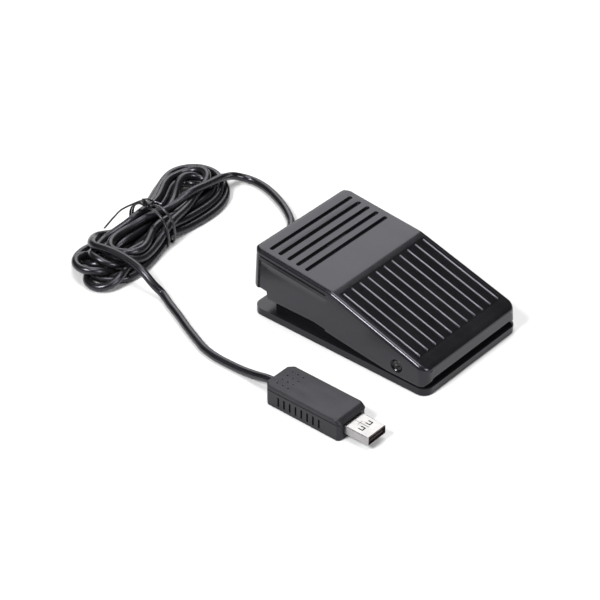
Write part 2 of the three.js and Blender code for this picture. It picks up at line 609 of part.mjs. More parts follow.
const hankBody = solid(extruded(hankOutline(), HANK_TOP - HANK_BOTTOM, 10).translate(0, 0, HANK_BOTTOM));
const tieGroove = solid(atWaist(block(
  -TIE_WIDTH / 2 - GAP, TIE_WIDTH / 2 + GAP, -30, 30, -1, HANK_BOTTOM + TIE_THICK + GAP + 0.3,
)));
addPiece(pedal, 'cord_hank', geometryOf(hankBody.subtract(tieGroove)), CORD_JACKET);

// Plastic-covered wire tie: a band around the waist, a twisted knot on top and one free end.
function makeTie() {
  const halfWide = WAIST.halfWidth + 0.6;
  const half = TIE_WIDTH / 2;
  const bottom = HANK_BOTTOM + 0.1;
  const top = HANK_TOP + GAP;
  const band = solid(block(-half, half, -halfWide - TIE_THICK, halfWide + TIE_THICK, bottom, top + TIE_THICK))
    .subtract(solid(block(-half - 1, half + 1, -halfWide, halfWide, bottom + TIE_THICK, top)));
  const knot = solid(bar('z', 1.5, top + 0.2, top + 2.6, 0, 9, 12));
  const tail = solid(tube([[0, 9, 15], [-6, 10.2, 16], [-14, 9.8, 15.6], [-23, 9, 14.6]], 0.5, 12, 6));
  return atWaist(geometryOf(unionOf([band, knot, tail])));
}

addPiece(pedal, 'twist_tie', makeTie(), ABS_BLACK);

// ---------------------------------------------------------------- USB plug, along -Y from its rear face

const SHELL_WALL = 1.5;
const SHELL_HALF_WIDTH = 6;
const SHELL_HEIGHT = 4.5;
const SHELL_TIP = -56.4;
const SHELL_BACK = -36.5;
const HOUSING_CORNER = 2.4;
const BOARD_TOP = 4.6;

function housingOutline(inset) {
  const halfX = PLUG_HALF_WIDTH - inset;
  const rear = -inset;
  const front = -PLUG_LENGTH + inset;
  const corner = HOUSING_CORNER;
  return shapeOf([
    [-halfX + corner, rear], [-halfX, rear - corner], [-halfX, front + 1], [-halfX + 1, front],
    [halfX - 1, front], [halfX, front + 1], [halfX, rear - corner], [halfX - corner, rear],
  ]);
}

function housingBlock(inset, z0, z1) {
  return solid(extruded(housingOutline(inset), z1 - z0).translate(0, 0, z0));
}

const cordEntry = () => solid(bar('y', 2.9, -SHELL_WALL - 2, 1, 0, USB_Z, 20));
const usbEntry = () => solid(block(
  -SHELL_HALF_WIDTH - GAP, SHELL_HALF_WIDTH + GAP, -PLUG_LENGTH - 1, -PLUG_LENGTH + 3,
  USB_Z - SHELL_HEIGHT / 2 - GAP, USB_Z + SHELL_HEIGHT / 2 + GAP,
));

function makeLowerShell() {
  const split = PLUG_SPLIT - GAP / 2;
  const slots = [];
  for (const side of [-1, 1]) {
    for (let i = 0; i < 8; i += 1) {
      const y = -8.6 - i * 3.3;
      const x = side * PLUG_HALF_WIDTH;
      slots.push(solid(block(x - 0.5, x + 0.5, y - 0.45, y + 0.45, 2, 6.6)));
    }
  }
  const shell = housingBlock(0, 0, split).subtract(housingBlock(SHELL_WALL, SHELL_WALL, split + 1));
  return cutAll(shell, [cordEntry(), usbEntry(), ...slots]);
}

function makeUpperShell() {
  const split = PLUG_SPLIT + GAP / 2;
  const shell = housingBlock(0, split, PLUG_HEIGHT).subtract(housingBlock(SHELL_WALL, split - 1, PLUG_HEIGHT - 1.2));
  const dots = [];
  for (let row = 0; row < 3; row += 1) {
    for (let i = 0; i < 4; i += 1) {
      dots.push(solid(bar('z', 0.45, PLUG_HEIGHT - 0.4, PLUG_HEIGHT + 1, -5.2 + i * 3.4, -4.4 - row * 3.1, 8)));
    }
  }
  return cutAll(shell, dots);
}

addPiece(plug, 'plug_lower_shell', geometryOf(makeLowerShell()), ABS_BLACK);
addPiece(plug, 'plug_upper_shell', geometryOf(makeUpperShell()), ABS_BLACK);

// Grommet around the cord where it enters the housing, cord end included.
addPiece(plug, 'plug_grommet', turned([
  [0, -6], [3.6, -6], [3.6, -4.2], [2.6, -4.2], [2.6, -0.2], [2.2, 0], [0, 0],
], 0, USB_Z, 20), RUBBER);

const board = block(-6.8, 6.8, -35.8, -7, BOARD_TOP - 1.2, BOARD_TOP);
addPiece(plug, 'controller_board', board, BOARD_GREEN);
addPiece(plug, 'controller_chip', block(-2.5, 2.5, -24, -17, BOARD_TOP + GAP, BOARD_TOP + 1.8), ABS_BLACK);
addPiece(plug, 'crystal', block(3.4, 6.2, -24, -14, BOARD_TOP + GAP, BOARD_TOP + 2.6), STEEL);

function makeUsbShell() {
  const wall = 0.35;
  const low = USB_Z - SHELL_HEIGHT / 2;
  const high = USB_Z + SHELL_HEIGHT / 2;
  const half = SHELL_HALF_WIDTH;
  const body = solid(block(-half, half, SHELL_TIP, SHELL_BACK, low, high))
    .subtract(solid(block(-half + wall, half - wall, SHELL_TIP - 1, SHELL_BACK + 1, low + wall, high - wall)));
  const windows = [-2.5, 2.5].map((x) => solid(
    block(x - 1.2, x + 1.2, SHELL_TIP + 5.2, SHELL_TIP + 7.4, high - 1, high + 1),
  ));
  return cutAll(body, windows);
}

addPiece(plug, 'usb_shell', geometryOf(makeUsbShell()), STEEL);

const tongueTop = USB_Z - 0.15;
addPiece(plug, 'usb_tongue', block(-5.3, 5.3, SHELL_TIP + 0.8, SHELL_BACK - 0.5, tongueTop - 1.4, tongueTop), PORT_BLACK);

[-3.5, -1.1, 1.1, 3.5].forEach((x, i) => {
  const inner = i === 1 || i === 2;
  const front = SHELL_TIP + (inner ? 2.2 : 1.4);
  const contact = block(x - 0.5, x + 0.5, front, SHELL_BACK - 1, tongueTop + GAP, tongueTop + GAP + 0.3);
  addPiece(plug, `usb_contact_${i + 1}`, contact, GOLD);
});

export default pedal;
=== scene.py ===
"""A momentary foot switch with its cord folded in a tied hank and a USB plug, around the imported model.

The parts are worked out in millimetres and become metres in mm() or by MM; the camera, the lights, the
floor and the scales of the materials are in metres. +Z is up, -Y the low toe end, +Y the high heel end.
"""

import math

import bmesh
import bpy
import numpy as np
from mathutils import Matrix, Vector


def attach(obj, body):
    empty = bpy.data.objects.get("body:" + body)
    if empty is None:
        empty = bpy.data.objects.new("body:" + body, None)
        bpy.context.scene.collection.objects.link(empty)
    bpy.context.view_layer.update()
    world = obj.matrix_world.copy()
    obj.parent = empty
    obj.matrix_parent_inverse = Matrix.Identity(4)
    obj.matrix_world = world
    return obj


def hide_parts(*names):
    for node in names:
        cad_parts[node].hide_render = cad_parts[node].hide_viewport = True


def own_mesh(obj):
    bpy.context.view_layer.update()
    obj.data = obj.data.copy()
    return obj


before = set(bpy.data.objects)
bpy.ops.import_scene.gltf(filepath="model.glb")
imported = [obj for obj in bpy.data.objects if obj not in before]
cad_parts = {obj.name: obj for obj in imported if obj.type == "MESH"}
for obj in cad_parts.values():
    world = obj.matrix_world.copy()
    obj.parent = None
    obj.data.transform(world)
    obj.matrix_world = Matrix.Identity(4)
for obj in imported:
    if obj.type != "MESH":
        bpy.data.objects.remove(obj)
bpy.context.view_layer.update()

MM = 0.001
WELD = 1e-6           # points closer than this, in metres, are one point


# ---------- small helpers

def mm(*values):
    """Millimetres to metres, as a tuple."""
    return tuple(v * MM for v in values)


def new_object(name, mesh, material):
    obj = bpy.data.objects.new(name, mesh)
    bpy.context.scene.collection.objects.link(obj)
    mesh.materials.clear()
    mesh.materials.append(material)
    return obj


def mesh_object(name, points, faces, material):
    """An object from points in millimetres and faces."""
    mesh = bpy.data.meshes.new(name)
    mesh.from_pydata([mm(*p) for p in points], [], faces)
    tidy_mesh(mesh)
    return new_object(name, mesh, material)


def tidy_mesh(mesh):
    """Welds double points and turns every face outwards."""
    bm = bmesh.new()
    bm.from_mesh(mesh)
    bmesh.ops.remove_doubles(bm, verts=bm.verts, dist=WELD)
    bmesh.ops.recalc_face_normals(bm, faces=bm.faces)
    bm.to_mesh(mesh)
    bm.free()


def shade(obj, degrees=35):
    """Smooth shading, with edges sharper than the angle kept sharp."""
    mesh = obj.data
    for polygon in mesh.polygons:
        polygon.use_smooth = True
    mesh.set_sharp_from_angle(angle=math.radians(degrees))


def crisp(obj, degrees=35):
    """Smooth shading that keeps large flat faces flat beside their rounded edges."""
    shade(obj, degrees)
    change = obj.modifiers.new("normals", "WEIGHTED_NORMAL")
    change.keep_sharp = True
    apply_modifiers(obj)


def apply_modifiers(obj):
    graph = bpy.context.evaluated_depsgraph_get()
    result = bpy.data.meshes.new_from_object(obj.evaluated_get(graph))
    obj.modifiers.clear()
    obj.data = result


def join(objects, name):
    """One object from several meshes that share their material."""
    bm = bmesh.new()
    for obj in objects:
        bm.from_mesh(obj.data)
    mesh = bpy.data.meshes.new(name)
    bm.to_mesh(mesh)
    bm.free()
    material = objects[0].data.materials[0]
    for obj in objects:
        bpy.data.objects.remove(obj)
    return new_object(name, mesh, material)


def cut_with(obj, cutters):
    """Takes the cutters' volumes out of the object, exactly, and removes the cutters."""
    for cutter in cutters:
        change = obj.modifiers.new("cut", "BOOLEAN")
        change.operation = "DIFFERENCE"
        change.solver = "EXACT"
        change.object = cutter
        apply_modifiers(obj)
        bpy.data.objects.remove(cutter)


def smoothstep(value):
    """0 below 0, 1 above 1, and a soft step between."""
    t = min(max(value, 0.0), 1.0)
    return t * t * (3 - 2 * t)


# ---------- paths and sweeps

CURVE_STEPS = 12      # places worked out between two given points of a curve


def catmull(points, step):
    """Points every step along a smooth curve through the given points."""
    p = np.array(points, float)
    first = 2 * p[0] - p[1]
    last = 2 * p[-1] - p[-2]
    p = np.vstack([first, p, last])
    dense = []
    for i in range(1, len(p) - 2):
        a, b, c, d = p[i - 1], p[i], p[i + 1], p[i + 2]
        for t in np.linspace(0, 1, CURVE_STEPS, endpoint=False):
            dense.append(0.5 * (2 * b + (c - a) * t + (2 * a - 5 * b + 4 * c - d) * t * t
                                + (3 * b - a - 3 * c + d) * t ** 3))
    dense.append(p[-2])
    return resample(np.array(dense), step)


def resample(points, step):
    """The same path with points at equal spacing, about step apart."""
    along = np.concatenate([[0], np.cumsum(np.linalg.norm(np.diff(points, axis=0), axis=1))])
    count = max(2, int(round(along[-1] / step)) + 1)
    wanted = np.linspace(0, along[-1], count)
    return np.stack([np.interp(wanted, along, points[:, k]) for k in range(3)], axis=1)


def frames_along(path, up):
    """A side and an up direction at each point, carried along the path without twisting."""
    tangents = np.gradient(path, axis=0)
    tangents /= np.linalg.norm(tangents, axis=1)[:, None]
    ups = []
    current = np.array(up, float)
    for t in tangents:
        current = current - t * (current @ t)
        current /= np.linalg.norm(current)
        ups.append(current)
    ups = np.array(ups)
    return np.cross(tangents, ups), ups


def tube_faces(rings, sides):
    """Faces of a tube of that many rings of points, with both its ends closed."""
    faces = []
    for i in range(rings - 1):
        for k in range(sides):
            faces.append([i * sides + k, i * sides + (k + 1) % sides,
                          (i + 1) * sides + (k + 1) % sides, (i + 1) * sides + k])
    faces.append(list(range(sides)))
    faces.append([(rings - 1) * sides + k for k in range(sides)])
    return faces


def sweep(name, path, section, material, up=(0, 0, 1)):
    """A closed section, given as (side, up) pairs, carried along a path of points in millimetres."""
    path = np.array(path, float)
    sides, ups = frames_along(path, up)
    points = []
    for centre, side, above in zip(path, sides, ups):
        points += [centre + side * a + above * b for a, b in section]
    obj = mesh_object(name, points, tube_faces(len(path), len(section)), material)
    shade(obj, 50)
    return obj


def circle(radius, count):
    turns = [2 * math.pi * k / count for k in range(count)]
    return [(radius * math.cos(turn), radius * math.sin(turn)) for turn in turns]


# ---------- materials

def material_nodes(name, base, roughness, metallic=0.0):
    material = bpy.data.materials.new(name)
    material.use_nodes = True
    shader = material.node_tree.nodes["Principled BSDF"]
    shader.inputs["Base Color"].default_value = (*base, 1)
    shader.inputs["Roughness"].default_value = roughness
    shader.inputs["Metallic"].default_value = metallic
    return material, shader


def coordinates(tree, stretch=(1, 1, 1)):
    """Object coordinates, which stay with the piece and are in metres."""
    source = tree.nodes.new("ShaderNodeTexCoord")
    mapping = tree.nodes.new("ShaderNodeMapping")
    mapping.inputs["Scale"].default_value = stretch
    tree.links.new(source.outputs["Object"], mapping.inputs["Vector"])
    return mapping.outputs["Vector"]


def noise(tree, vector, scale, detail=3.0, rough=0.55):
    node = tree.nodes.new("ShaderNodeTexNoise")
    node.inputs["Scale"].default_value = scale
    node.inputs["Detail"].default_value = detail
    node.inputs["Roughness"].default_value = rough
    tree.links.new(vector, node.inputs["Vector"])
    return node.outputs["Fac"]


def spread(tree, value, low, high, from_low=0.3, from_high=0.7):
    node = tree.nodes.new("ShaderNodeMapRange")
    node.inputs["From Min"].default_value = from_low
    node.inputs["From Max"].default_value = from_high
    node.inputs["To Min"].default_value = low
    node.inputs["To Max"].default_value = high
    tree.links.new(value, node.inputs["Value"])
    return node.outputs["Result"]


def colour_between(tree, value, low, high, from_low=0.3, from_high=0.7):
    node = tree.nodes.new("ShaderNodeValToRGB")
    node.color_ramp.elements[0].position = from_low
    node.color_ramp.elements[0].color = (*low, 1)
    node.color_ramp.elements[1].position = from_high
    node.color_ramp.elements[1].color = (*high, 1)
    tree.links.new(value, node.inputs["Fac"])
    return node.outputs["Color"]


def added(tree, first, second):
    node = tree.nodes.new("ShaderNodeMath")
    node.operation = "ADD"
    tree.links.new(first, node.inputs[0])
    tree.links.new(second, node.inputs[1])
    return node.outputs[0]


def bump(tree, shader, height, distance, strength):
    node = tree.nodes.new("ShaderNodeBump")
    node.inputs["Distance"].default_value = distance
    node.inputs["Strength"].default_value = strength
    tree.links.new(height, node.inputs["Height"])
    tree.links.new(node.outputs["Normal"], shader.inputs["Normal"])


def moulded(name, low, high, rough_low, rough_high, grain=2600, grain_depth=2e-5, level=0.5):
    """Moulded plastic or rubber: slow colour patches, uneven gloss and a fine spark-eroded grain."""
    patch = 60
    material, shader = material_nodes(name, high, rough_high)
    tree = material.node_tree
    place = coordinates(tree)
    slow = noise(tree, place, patch, 4)
    fine = noise(tree, place, grain, 2, 0.6)
    both = spread(tree, added(tree, slow, fine), 0, 1, 0.7, 1.3)
    tree.links.new(colour_between(tree, both, low, high, 0.0, 1.0), shader.inputs["Base Color"])
    smear = noise(tree, coordinates(tree, (1, 0.25, 1)), patch * 3, 3)
    tree.links.new(spread(tree, smear, rough_low, rough_high), shader.inputs["Roughness"])
    bump(tree, shader, added(tree, fine, slow), grain_depth, 0.6)
    shader.inputs["Specular IOR Level"].default_value = level
    shader.inputs["Specular Tint"].default_value = (0.90, 0.88, 1, 1)
    return material


def metal(name, low, high, rough_low, rough_high, stretch=(1, 1, 1)):
    """Plated or drawn metal: a brushed direction, uneven gloss and faint tarnish."""
    material, shader = material_nodes(name, high, rough_high, 1.0)
    tree = material.node_tree
    slow = noise(tree, coordinates(tree), 140, 4)
    brushed = noise(tree, coordinates(tree, stretch), 900, 3)
    tree.links.new(colour_between(tree, slow, low, high), shader.inputs["Base Color"])
    tree.links.new(spread(tree, brushed, rough_low, rough_high), shader.inputs["Roughness"])
    bump(tree, shader, brushed, 4e-6, 0.5)
    return material


# Darkest and lightest colour, lowest and highest roughness, then the grain, its depth and the reflection.
MATERIALS = {
    "cover": moulded("abs_satin", (0.005, 0.005, 0.006), (0.009, 0.009, 0.01), 0.17, 0.24, level=0.39),
    "base": moulded("abs_gloss", (0.005, 0.005, 0.006), (0.01, 0.01, 0.011), 0.16, 0.24, level=0.24),
    "inner": moulded("abs_inner", (0.007, 0.007, 0.008), (0.014, 0.014, 0.015), 0.4, 0.5),
    "plug": moulded("plug_plastic", (0.006, 0.006, 0.007), (0.014, 0.014, 0.0155), 0.4, 0.5, 1500, 1.5e-4,
                    0.32),
    "rubber": moulded("foot_rubber", (0.012, 0.012, 0.012), (0.03, 0.029, 0.028), 0.7, 0.9, 1500, 5e-5),
    "jacket": moulded("cord_jacket", (0.003, 0.003, 0.0035), (0.008, 0.008, 0.009), 0.22, 0.34, 1500, 3e-5),
    "relief": moulded("relief_rubber", (0.01, 0.01, 0.011), (0.02, 0.02, 0.021), 0.4, 0.55, 1800, 3e-5),
    "switch": moulded("switch_case", (0.012, 0.012, 0.013), (0.022, 0.022, 0.024), 0.35, 0.5),
    "button": moulded("switch_button", (0.5, 0.04, 0.03), (0.62, 0.06, 0.05), 0.35, 0.5),
    "board": moulded("board_green", (0.01, 0.085, 0.03), (0.018, 0.13, 0.05), 0.3, 0.45, 1200, 1e-5),
    "red": moulded("lead_red", (0.42, 0.02, 0.02), (0.55, 0.035, 0.03), 0.35, 0.5, 1500, 1e-5),
    "pale": moulded("lead_white", (0.6, 0.6, 0.58), (0.72, 0.72, 0.7), 0.35, 0.5, 1500, 1e-5),
    "tie": moulded("tie_coating", (0.008, 0.008, 0.009), (0.018, 0.018, 0.019), 0.22, 0.38, 1800, 2e-5),
    # The field's colour is darker than the cover's: partly its own duller tone, partly painted shade
    # standing for the dim room that the toe's slope reflects.
    "field": moulded("abs_textured_painted_shade", (0.001, 0.001, 0.0012), (0.006, 0.006, 0.007), 0.42, 0.6, 1300, 3e-4,
                     0.05),
    "rib": moulded("abs_ribs", (0.005, 0.005, 0.006), (0.009, 0.009, 0.01), 0.3, 0.36, 2600, 1e-5, 0.8),
    "steel": metal("nickel_steel", (0.6, 0.6, 0.62), (0.78, 0.78, 0.79), 0.16, 0.28, (1, 12, 1)),
    "port": moulded("port_black", (0.01, 0.004, 0.003), (0.03, 0.012, 0.009), 0.4, 0.5, 1800, 1e-5, 0.25),
    "plated": metal("plated_shell", (0.3, 0.29, 0.29), (0.38, 0.37, 0.37), 0.22, 0.32, (1, 12, 1)),
    "black_steel": metal("black_steel", (0.02, 0.02, 0.021), (0.06, 0.06, 0.062), 0.3, 0.42),
    "spring": metal("spring_steel", (0.3, 0.3, 0.32), (0.48, 0.48, 0.5), 0.22, 0.35),
    "brass": metal("brass_plate", (0.55, 0.4, 0.16), (0.72, 0.54, 0.24), 0.25, 0.4),
    "gold": metal("contact_gold", (0.75, 0.52, 0.2), (0.88, 0.66, 0.3), 0.18, 0.3),
}


# ---------- camera, light and floor

CAMERA_PLACE = (-0.68301, -0.53440, 0.63303)
CAMERA_BACK = (-0.6170, -0.5288, 0.5829)      # from what it looks at towards the camera
CAMERA_LENS = 140.22


def aim_camera():
    """A long lens looking down on the low, left corner of the pedal."""
    camera = bpy.data.cameras.new("camera")
    camera.lens = CAMERA_LENS
    camera.sensor_width = 36
    camera.clip_start = 0.05
    camera.clip_end = 20
    obj = bpy.data.objects.new("camera", camera)
    obj.location = CAMERA_PLACE
    obj.rotation_euler = Vector(CAMERA_BACK).to_track_quat("Z", "Y").to_euler()
    bpy.context.scene.collection.objects.link(obj)
    bpy.context.scene.camera = obj


def area_light(name, place, target, size, power):
    """A square soft box that faces its target."""
    light = bpy.data.lights.new(name, "AREA")
    light.shape = "SQUARE"
    light.size = size
    light.energy = power
    obj = bpy.data.objects.new(name, light)
    obj.location = place
    obj.rotation_euler = (Vector(place) - Vector(target)).to_track_quat("Z", "Y").to_euler()
    bpy.context.scene.collection.objects.link(obj)


def build_studio():
    """A dim room; a large soft box behind on the right, a small one on the left, one above, one in front."""
    world = bpy.data.worlds.new("studio")
    world.use_nodes = True
    world.node_tree.nodes["Background"].inputs["Color"].default_value = (0.97, 0.98, 1, 1)
    world.node_tree.nodes["Background"].inputs["Strength"].default_value = 0.05
    bpy.context.scene.world = world
    bpy.context.scene.view_settings.view_transform = "Standard"
    area_light("rear_box", (0.84, 0.84, 0.92), (-0.02, 0.05, 0.02), 1.1, 11.5)
    area_light("left_box", (-0.92, 0.12, 0.94), (0.0, 0.0, 0.02), 0.36, 21)
    area_light("top_box", (0.1, 0.0, 1.5), (0.0, 0.0, 0.0), 0.8, 15)
    area_light("front_box", (-0.1, -1.3, 0.75), (0.0, 0.0, 0.02), 0.6, 14)


def build_floor():
    """A plain pale floor."""
    material, shader = material_nodes("floor", (0.66, 0.66, 0.66), 0.9)
    tree = material.node_tree
    slow = noise(tree, coordinates(tree), 3, 2)
    colour = colour_between(tree, slow, (0.65, 0.65, 0.65), (0.67, 0.67, 0.67))
    tree.links.new(colour, shader.inputs["Base Color"])
    mesh = bpy.data.meshes.new("floor")
    mesh.from_pydata([(-2, -2, 0), (2, -2, 0), (2, 2, 0), (-2, 2, 0)], [], [(0, 1, 2, 3)])
    new_object("floor", mesh, material)


# ---------- the cord

CORD_RADIUS = 2.0
CORD_EXIT = (17, 62.4, 8.4)
CORD_STEP = 2.8       # between two points of the cord while it settles
CORD_FINE_STEP = 1.4  # and in the finished cord
# The route from the strain relief to the hank, and from the hank to the plug.
TO_HANK = [
    [17, 62.4, 8.4], [17, 63.1, 8.4], [17.3, 67, 7.8], [19, 71.5, 5.8], [22.5, 76, 3.6], [27, 80, 2.4],
    [31.5, 83.6, 2.1], [35.4, 88.6, 2.1], [39.3, 95, 2.1], [43.4, 103.9, 2.1], [46.2, 112.5, 2.1],
    [47.2, 120, 2.1], [45.9, 125.2, 2.7], [42.6, 128.6, 4.2], [41.3, 129.3, 4.8],
]
TO_PLUG = [
    [-53.9, 108.3, 9], [-53.8, 105, 8.4], [-53.4, 100, 7], [-52.9, 95, 4.8], [-53.2, 90.2, 2.9],
    [-54.6, 86, 2.1], [-56.8, 81.5, 2.1], [-60.9, 71.8, 2.1], [-65.2, 62.5, 2.1], [-69.1, 53, 2.1],
    [-71.7, 46, 2.1], [-73, 38, 2.1], [-73, 29.9, 2.1], [-72.8, 22, 2.4], [-72.7, 14, 3.6],
    [-72.5, 7.5, 4.9], [-72.5, 2.3, 5.25],
]

# The hank has its own axes: u along its runs, v across them, both level, from the middle of its waist.
WAIST = np.array([-18, 129.6])
HANK_TURN = math.atan2(12, 78)
ALONG_U = np.array([math.cos(HANK_TURN), math.sin(HANK_TURN)])
ALONG_V = np.array([-math.sin(HANK_TURN), math.cos(HANK_TURN)])

# Where each of the 15 runs goes through the tie: (v, z). Even runs go left, odd ones come back.
WAIST_SLOTS = [
    (-1.0, 12.0), (-4.0, 10.0), (0.0, 6.6), (-2.0, 3.2), (2.0, 3.2), (-4.05, 6.6), (4.05, 6.6), (-8.0, 9.4),
    (5.0, 10.1), (-6.1, 3.2), (6.1, 3.2), (-8.1, 6.6), (8.1, 6.6), (-10.1, 3.2), (10.1, 3.2),
]
# The folds between runs: (u and v of the centre, radius, z where it begins, z where it ends).
RIGHT_FOLDS = [
    (38, -2, 5.5, 9.4, 9.2), (41, 0.5, 6.5, 2.1, 2.1), (38, -0.5, 7.2, 5.9, 6.2), (39, 1.5, 9.6, 9.5, 10.0),
    (41.5, 3.0, 12.2, 2.1, 2.1), (40.5, 3.5, 14.4, 5.9, 6.5), (41.5, 3.2, 17.4, 2.1, 2.5),
]
LEFT_FOLDS = [
    (-31, 2, 6.5, 8.0, 8.0), (-43, 6, 7.5, 6.0, 4.5), (-38, 0, 7.0, 2.1, 2.6), (-31, 0.5, 9.8, 6.8, 7.2),
    (-36, 3, 8.5, 6.6, 6.0), (-31, 3, 7.5, 2.1, 5.5), (-37, 2.5, 9.0, 5.6, 2.3),
]
RIGHT_SKEW = 0.9      # the right folds lean: their far side lies further right than their near side
LEFT_SKEW = 0.2
# The lead comes in over the right folds, and the strand to the plug leaves over the left ones: (u, v, z).
LEAD_OVER = [
    [56.0, -8.3, 5.8], [51.5, -8.6, 7.8], [46.5, -8.6, 9.6], [41, -8.0, 10.5], [35, -7.2, 10.8],
    [28, -6.3, 11.0], [17.9, -5.6, 11.6],
]
PLUG_OVER = [
    [-18.6, 14.9, 6], [-25.5, 14.9, 7.3], [-31.3, 13, 9], [-35.4, 8, 10.9], [-36.3, 0.2, 12.2],
    [-36.8, -7.8, 12.2], [-38.3, -16.6, 11.3], [-40.2, -24, 9.4], [-41.2, -29.3, 6.2],
]
LEAD_HELD = 7         # points of the lead over the folds that keep their place while the hank settles
PLUG_HELD = 19        # and of the strand to the plug
PLUG_JOIN = 4         # the free strand to the plug begins at this point of TO_PLUG
FOLD_POINTS = 14


def hank_to_model(points):
    """From the hank's own u, v, z to the model's x, y, z."""
    p = np.array(points, float)
    flat = WAIST + p[:, :1] * ALONG_U + p[:, 1:2] * ALONG_V
    return np.column_stack([flat, p[:, 2]])


def model_to_hank(points):
    p = np.array(points, float)
    d = p[:, :2] - WAIST
    return np.column_stack([d @ ALONG_U, d @ ALONG_V, p[:, 2]])


def fold_points(fold, to_left):
    """Half a turn, counter-clockwise seen from above."""
    u, v, radius, z_in, z_out = fold
    begin = math.pi / 2 if to_left else -math.pi / 2
    skew = LEFT_SKEW if to_left else RIGHT_SKEW
    points = []
    for k in range(FOLD_POINTS):
        t = k / (FOLD_POINTS - 1)
        angle = begin + math.pi * t
        across = radius * math.sin(angle)
        points.append([u + radius * math.cos(angle) + skew * across, v + across, z_in + (z_out - z_in) * t])
    return points


def hank_guess():
    """The wound turns before they settle: runs through the waist joined by nested folds."""
    points = list(LEAD_OVER)
    for run, (v, z) in enumerate(WAIST_SLOTS):
        points.append([0, v, z])
        if run == len(WAIST_SLOTS) - 1:
            break
        to_left = run % 2 == 0
        folds = LEFT_FOLDS if to_left else RIGHT_FOLDS
        points += fold_points(folds[run // 2], to_left)
    points += PLUG_OVER
    return points


def near_pairs(points, reach, apart):
    """Pairs of points closer than reach that are more than apart places from each other on the cord."""
    d2 = ((points[:, None, :] - points[None, :, :]) ** 2).sum(axis=2)
    i, j = np.nonzero(np.triu(d2 < reach * reach, apart))
    return i, j


def push(points, i, j, least, strength):
    """Moves the pairs that are closer than least apart, half each."""
    gap = points[j] - points[i]
    size = np.maximum(np.linalg.norm(gap, axis=1), 1e-6)
    short = np.maximum(least - size, 0) * strength * 0.5
    move = gap / size[:, None] * short[:, None]
    total = np.zeros_like(points)
    count = np.ones(len(points))
    np.add.at(total, i, -move)
    np.add.at(total, j, move)
    np.add.at(count, i, short > 0)
    np.add.at(count, j, short > 0)
    points += total / np.sqrt(count)[:, None]


def even_out(points, held):
    """Spreads the points of the stretch between the held ends evenly along it."""
    free = np.nonzero(~held)[0]
    first, last = free[0] - 1, free[-1] + 1
    part = points[first:last + 1]
    along = np.concatenate([[0], np.cumsum(np.linalg.norm(np.diff(part, axis=0), axis=1))])
    wanted = np.linspace(0, along[-1], len(part))
    points[first:last + 1] = np.stack([np.interp(wanted, along, part[:, k]) for k in range(3)], axis=1)


def soften(points, amount):
    """Bending stiffness: each point moves towards the cubic through its neighbours."""
    fair = (4 * (points[1:-3] + points[3:-1]) - points[:-4] - points[4:]) / 6
    points[2:-2] += amount * (fair - points[2:-2])


def chord(radius, arc):
    """The straight distance between the ends of an arc."""
    return 2 * radius * math.sin(arc / (2 * radius))


SETTLE_ROUNDS = 360
CONTACT_EVERY = 6     # rounds between two searches for strands that touch
CONTACT_REACH = 6.5
SINK = 0.02           # how far a round lets the cord fall
TENSION = 0.05
LEAST_BEND = 8.0      # radius
WAIST_REACH = 12      # along u, how far the tie narrows the hank
WAIST_ROOM = 10.6     # half width at the tie
TIE_REACH = 4
TIE_FLOOR, TIE_ROOF = 3.2, 11.8


def narrow_waist(points):
    """Keeps the runs inside the tie, and close together beside it."""
    waist = np.abs(points[:, 0]) < WAIST_REACH
    room = WAIST_ROOM + 0.03 * points[waist, 0] ** 2
    points[waist, 1] = np.clip(points[waist, 1], -room, room)
    tie = np.abs(points[:, 0]) < TIE_REACH
    points[tie, 2] = np.clip(points[tie, 2], TIE_FLOOR, TIE_ROOF)


def settle(points, held, rounds):
    """Lets the wound cord take its own shape: turns rest on each other, the floor and the tie."""
    start = points.copy()
    index = np.arange(len(points))
    for number in range(rounds):
        if number % CONTACT_EVERY == 0:
            even_out(points, held)
            i, j = near_pairs(points, CONTACT_REACH, 5)
        points[:, 2] -= SINK
        points[1:-1] += TENSION * ((points[:-2] + points[2:]) / 2 - points[1:-1])
        for _ in range(3):
            soften(points, 0.5)
        push(points, i, j, 2 * CORD_RADIUS + 0.05, 0.8)
        for reach in (3, 6):
            push(points, index[:-reach], index[reach:], chord(LEAST_BEND, reach * CORD_STEP), 0.5)
        narrow_waist(points)
        points[:, 2] = np.maximum(points[:, 2], CORD_RADIUS + 0.1)
        points[held] = start[held]
    return points


def cord_path():
    """The whole cord's centreline from the strain relief to the plug."""
    lead = catmull(TO_HANK, CORD_STEP)
    tail = catmull(TO_PLUG[PLUG_JOIN:], CORD_STEP)
    hank = catmull([lead[-1]] + list(hank_to_model(hank_guess())) + [tail[0]], CORD_STEP)
    whole = np.vstack([lead, hank[1:-1], tail])
    held = np.zeros(len(whole), bool)
    held[:len(lead) + LEAD_HELD] = True
    held[-len(tail) - PLUG_HELD:] = True
    settled = settle(model_to_hank(whole), held, SETTLE_ROUNDS)
    return catmull(hank_to_model(settled), CORD_FINE_STEP)


def cord_curve(path, material):
    """The round jacket along the path."""
    curve = bpy.data.curves.new("cord", "CURVE")
    curve.dimensions = "3D"
    curve.bevel_depth = CORD_RADIUS * MM
    curve.bevel_resolution = 5
    curve.use_fill_caps = True
    spline = curve.splines.new("POLY")
    spline.points.add(len(path) - 1)
    for point, place in zip(spline.points, path):
        point.co = (*mm(*place), 1)
    obj = bpy.data.objects.new("cord", curve)
    curve.materials.append(material)
    bpy.context.scene.collection.objects.link(obj)
    return obj


# ---------- the pedal cover

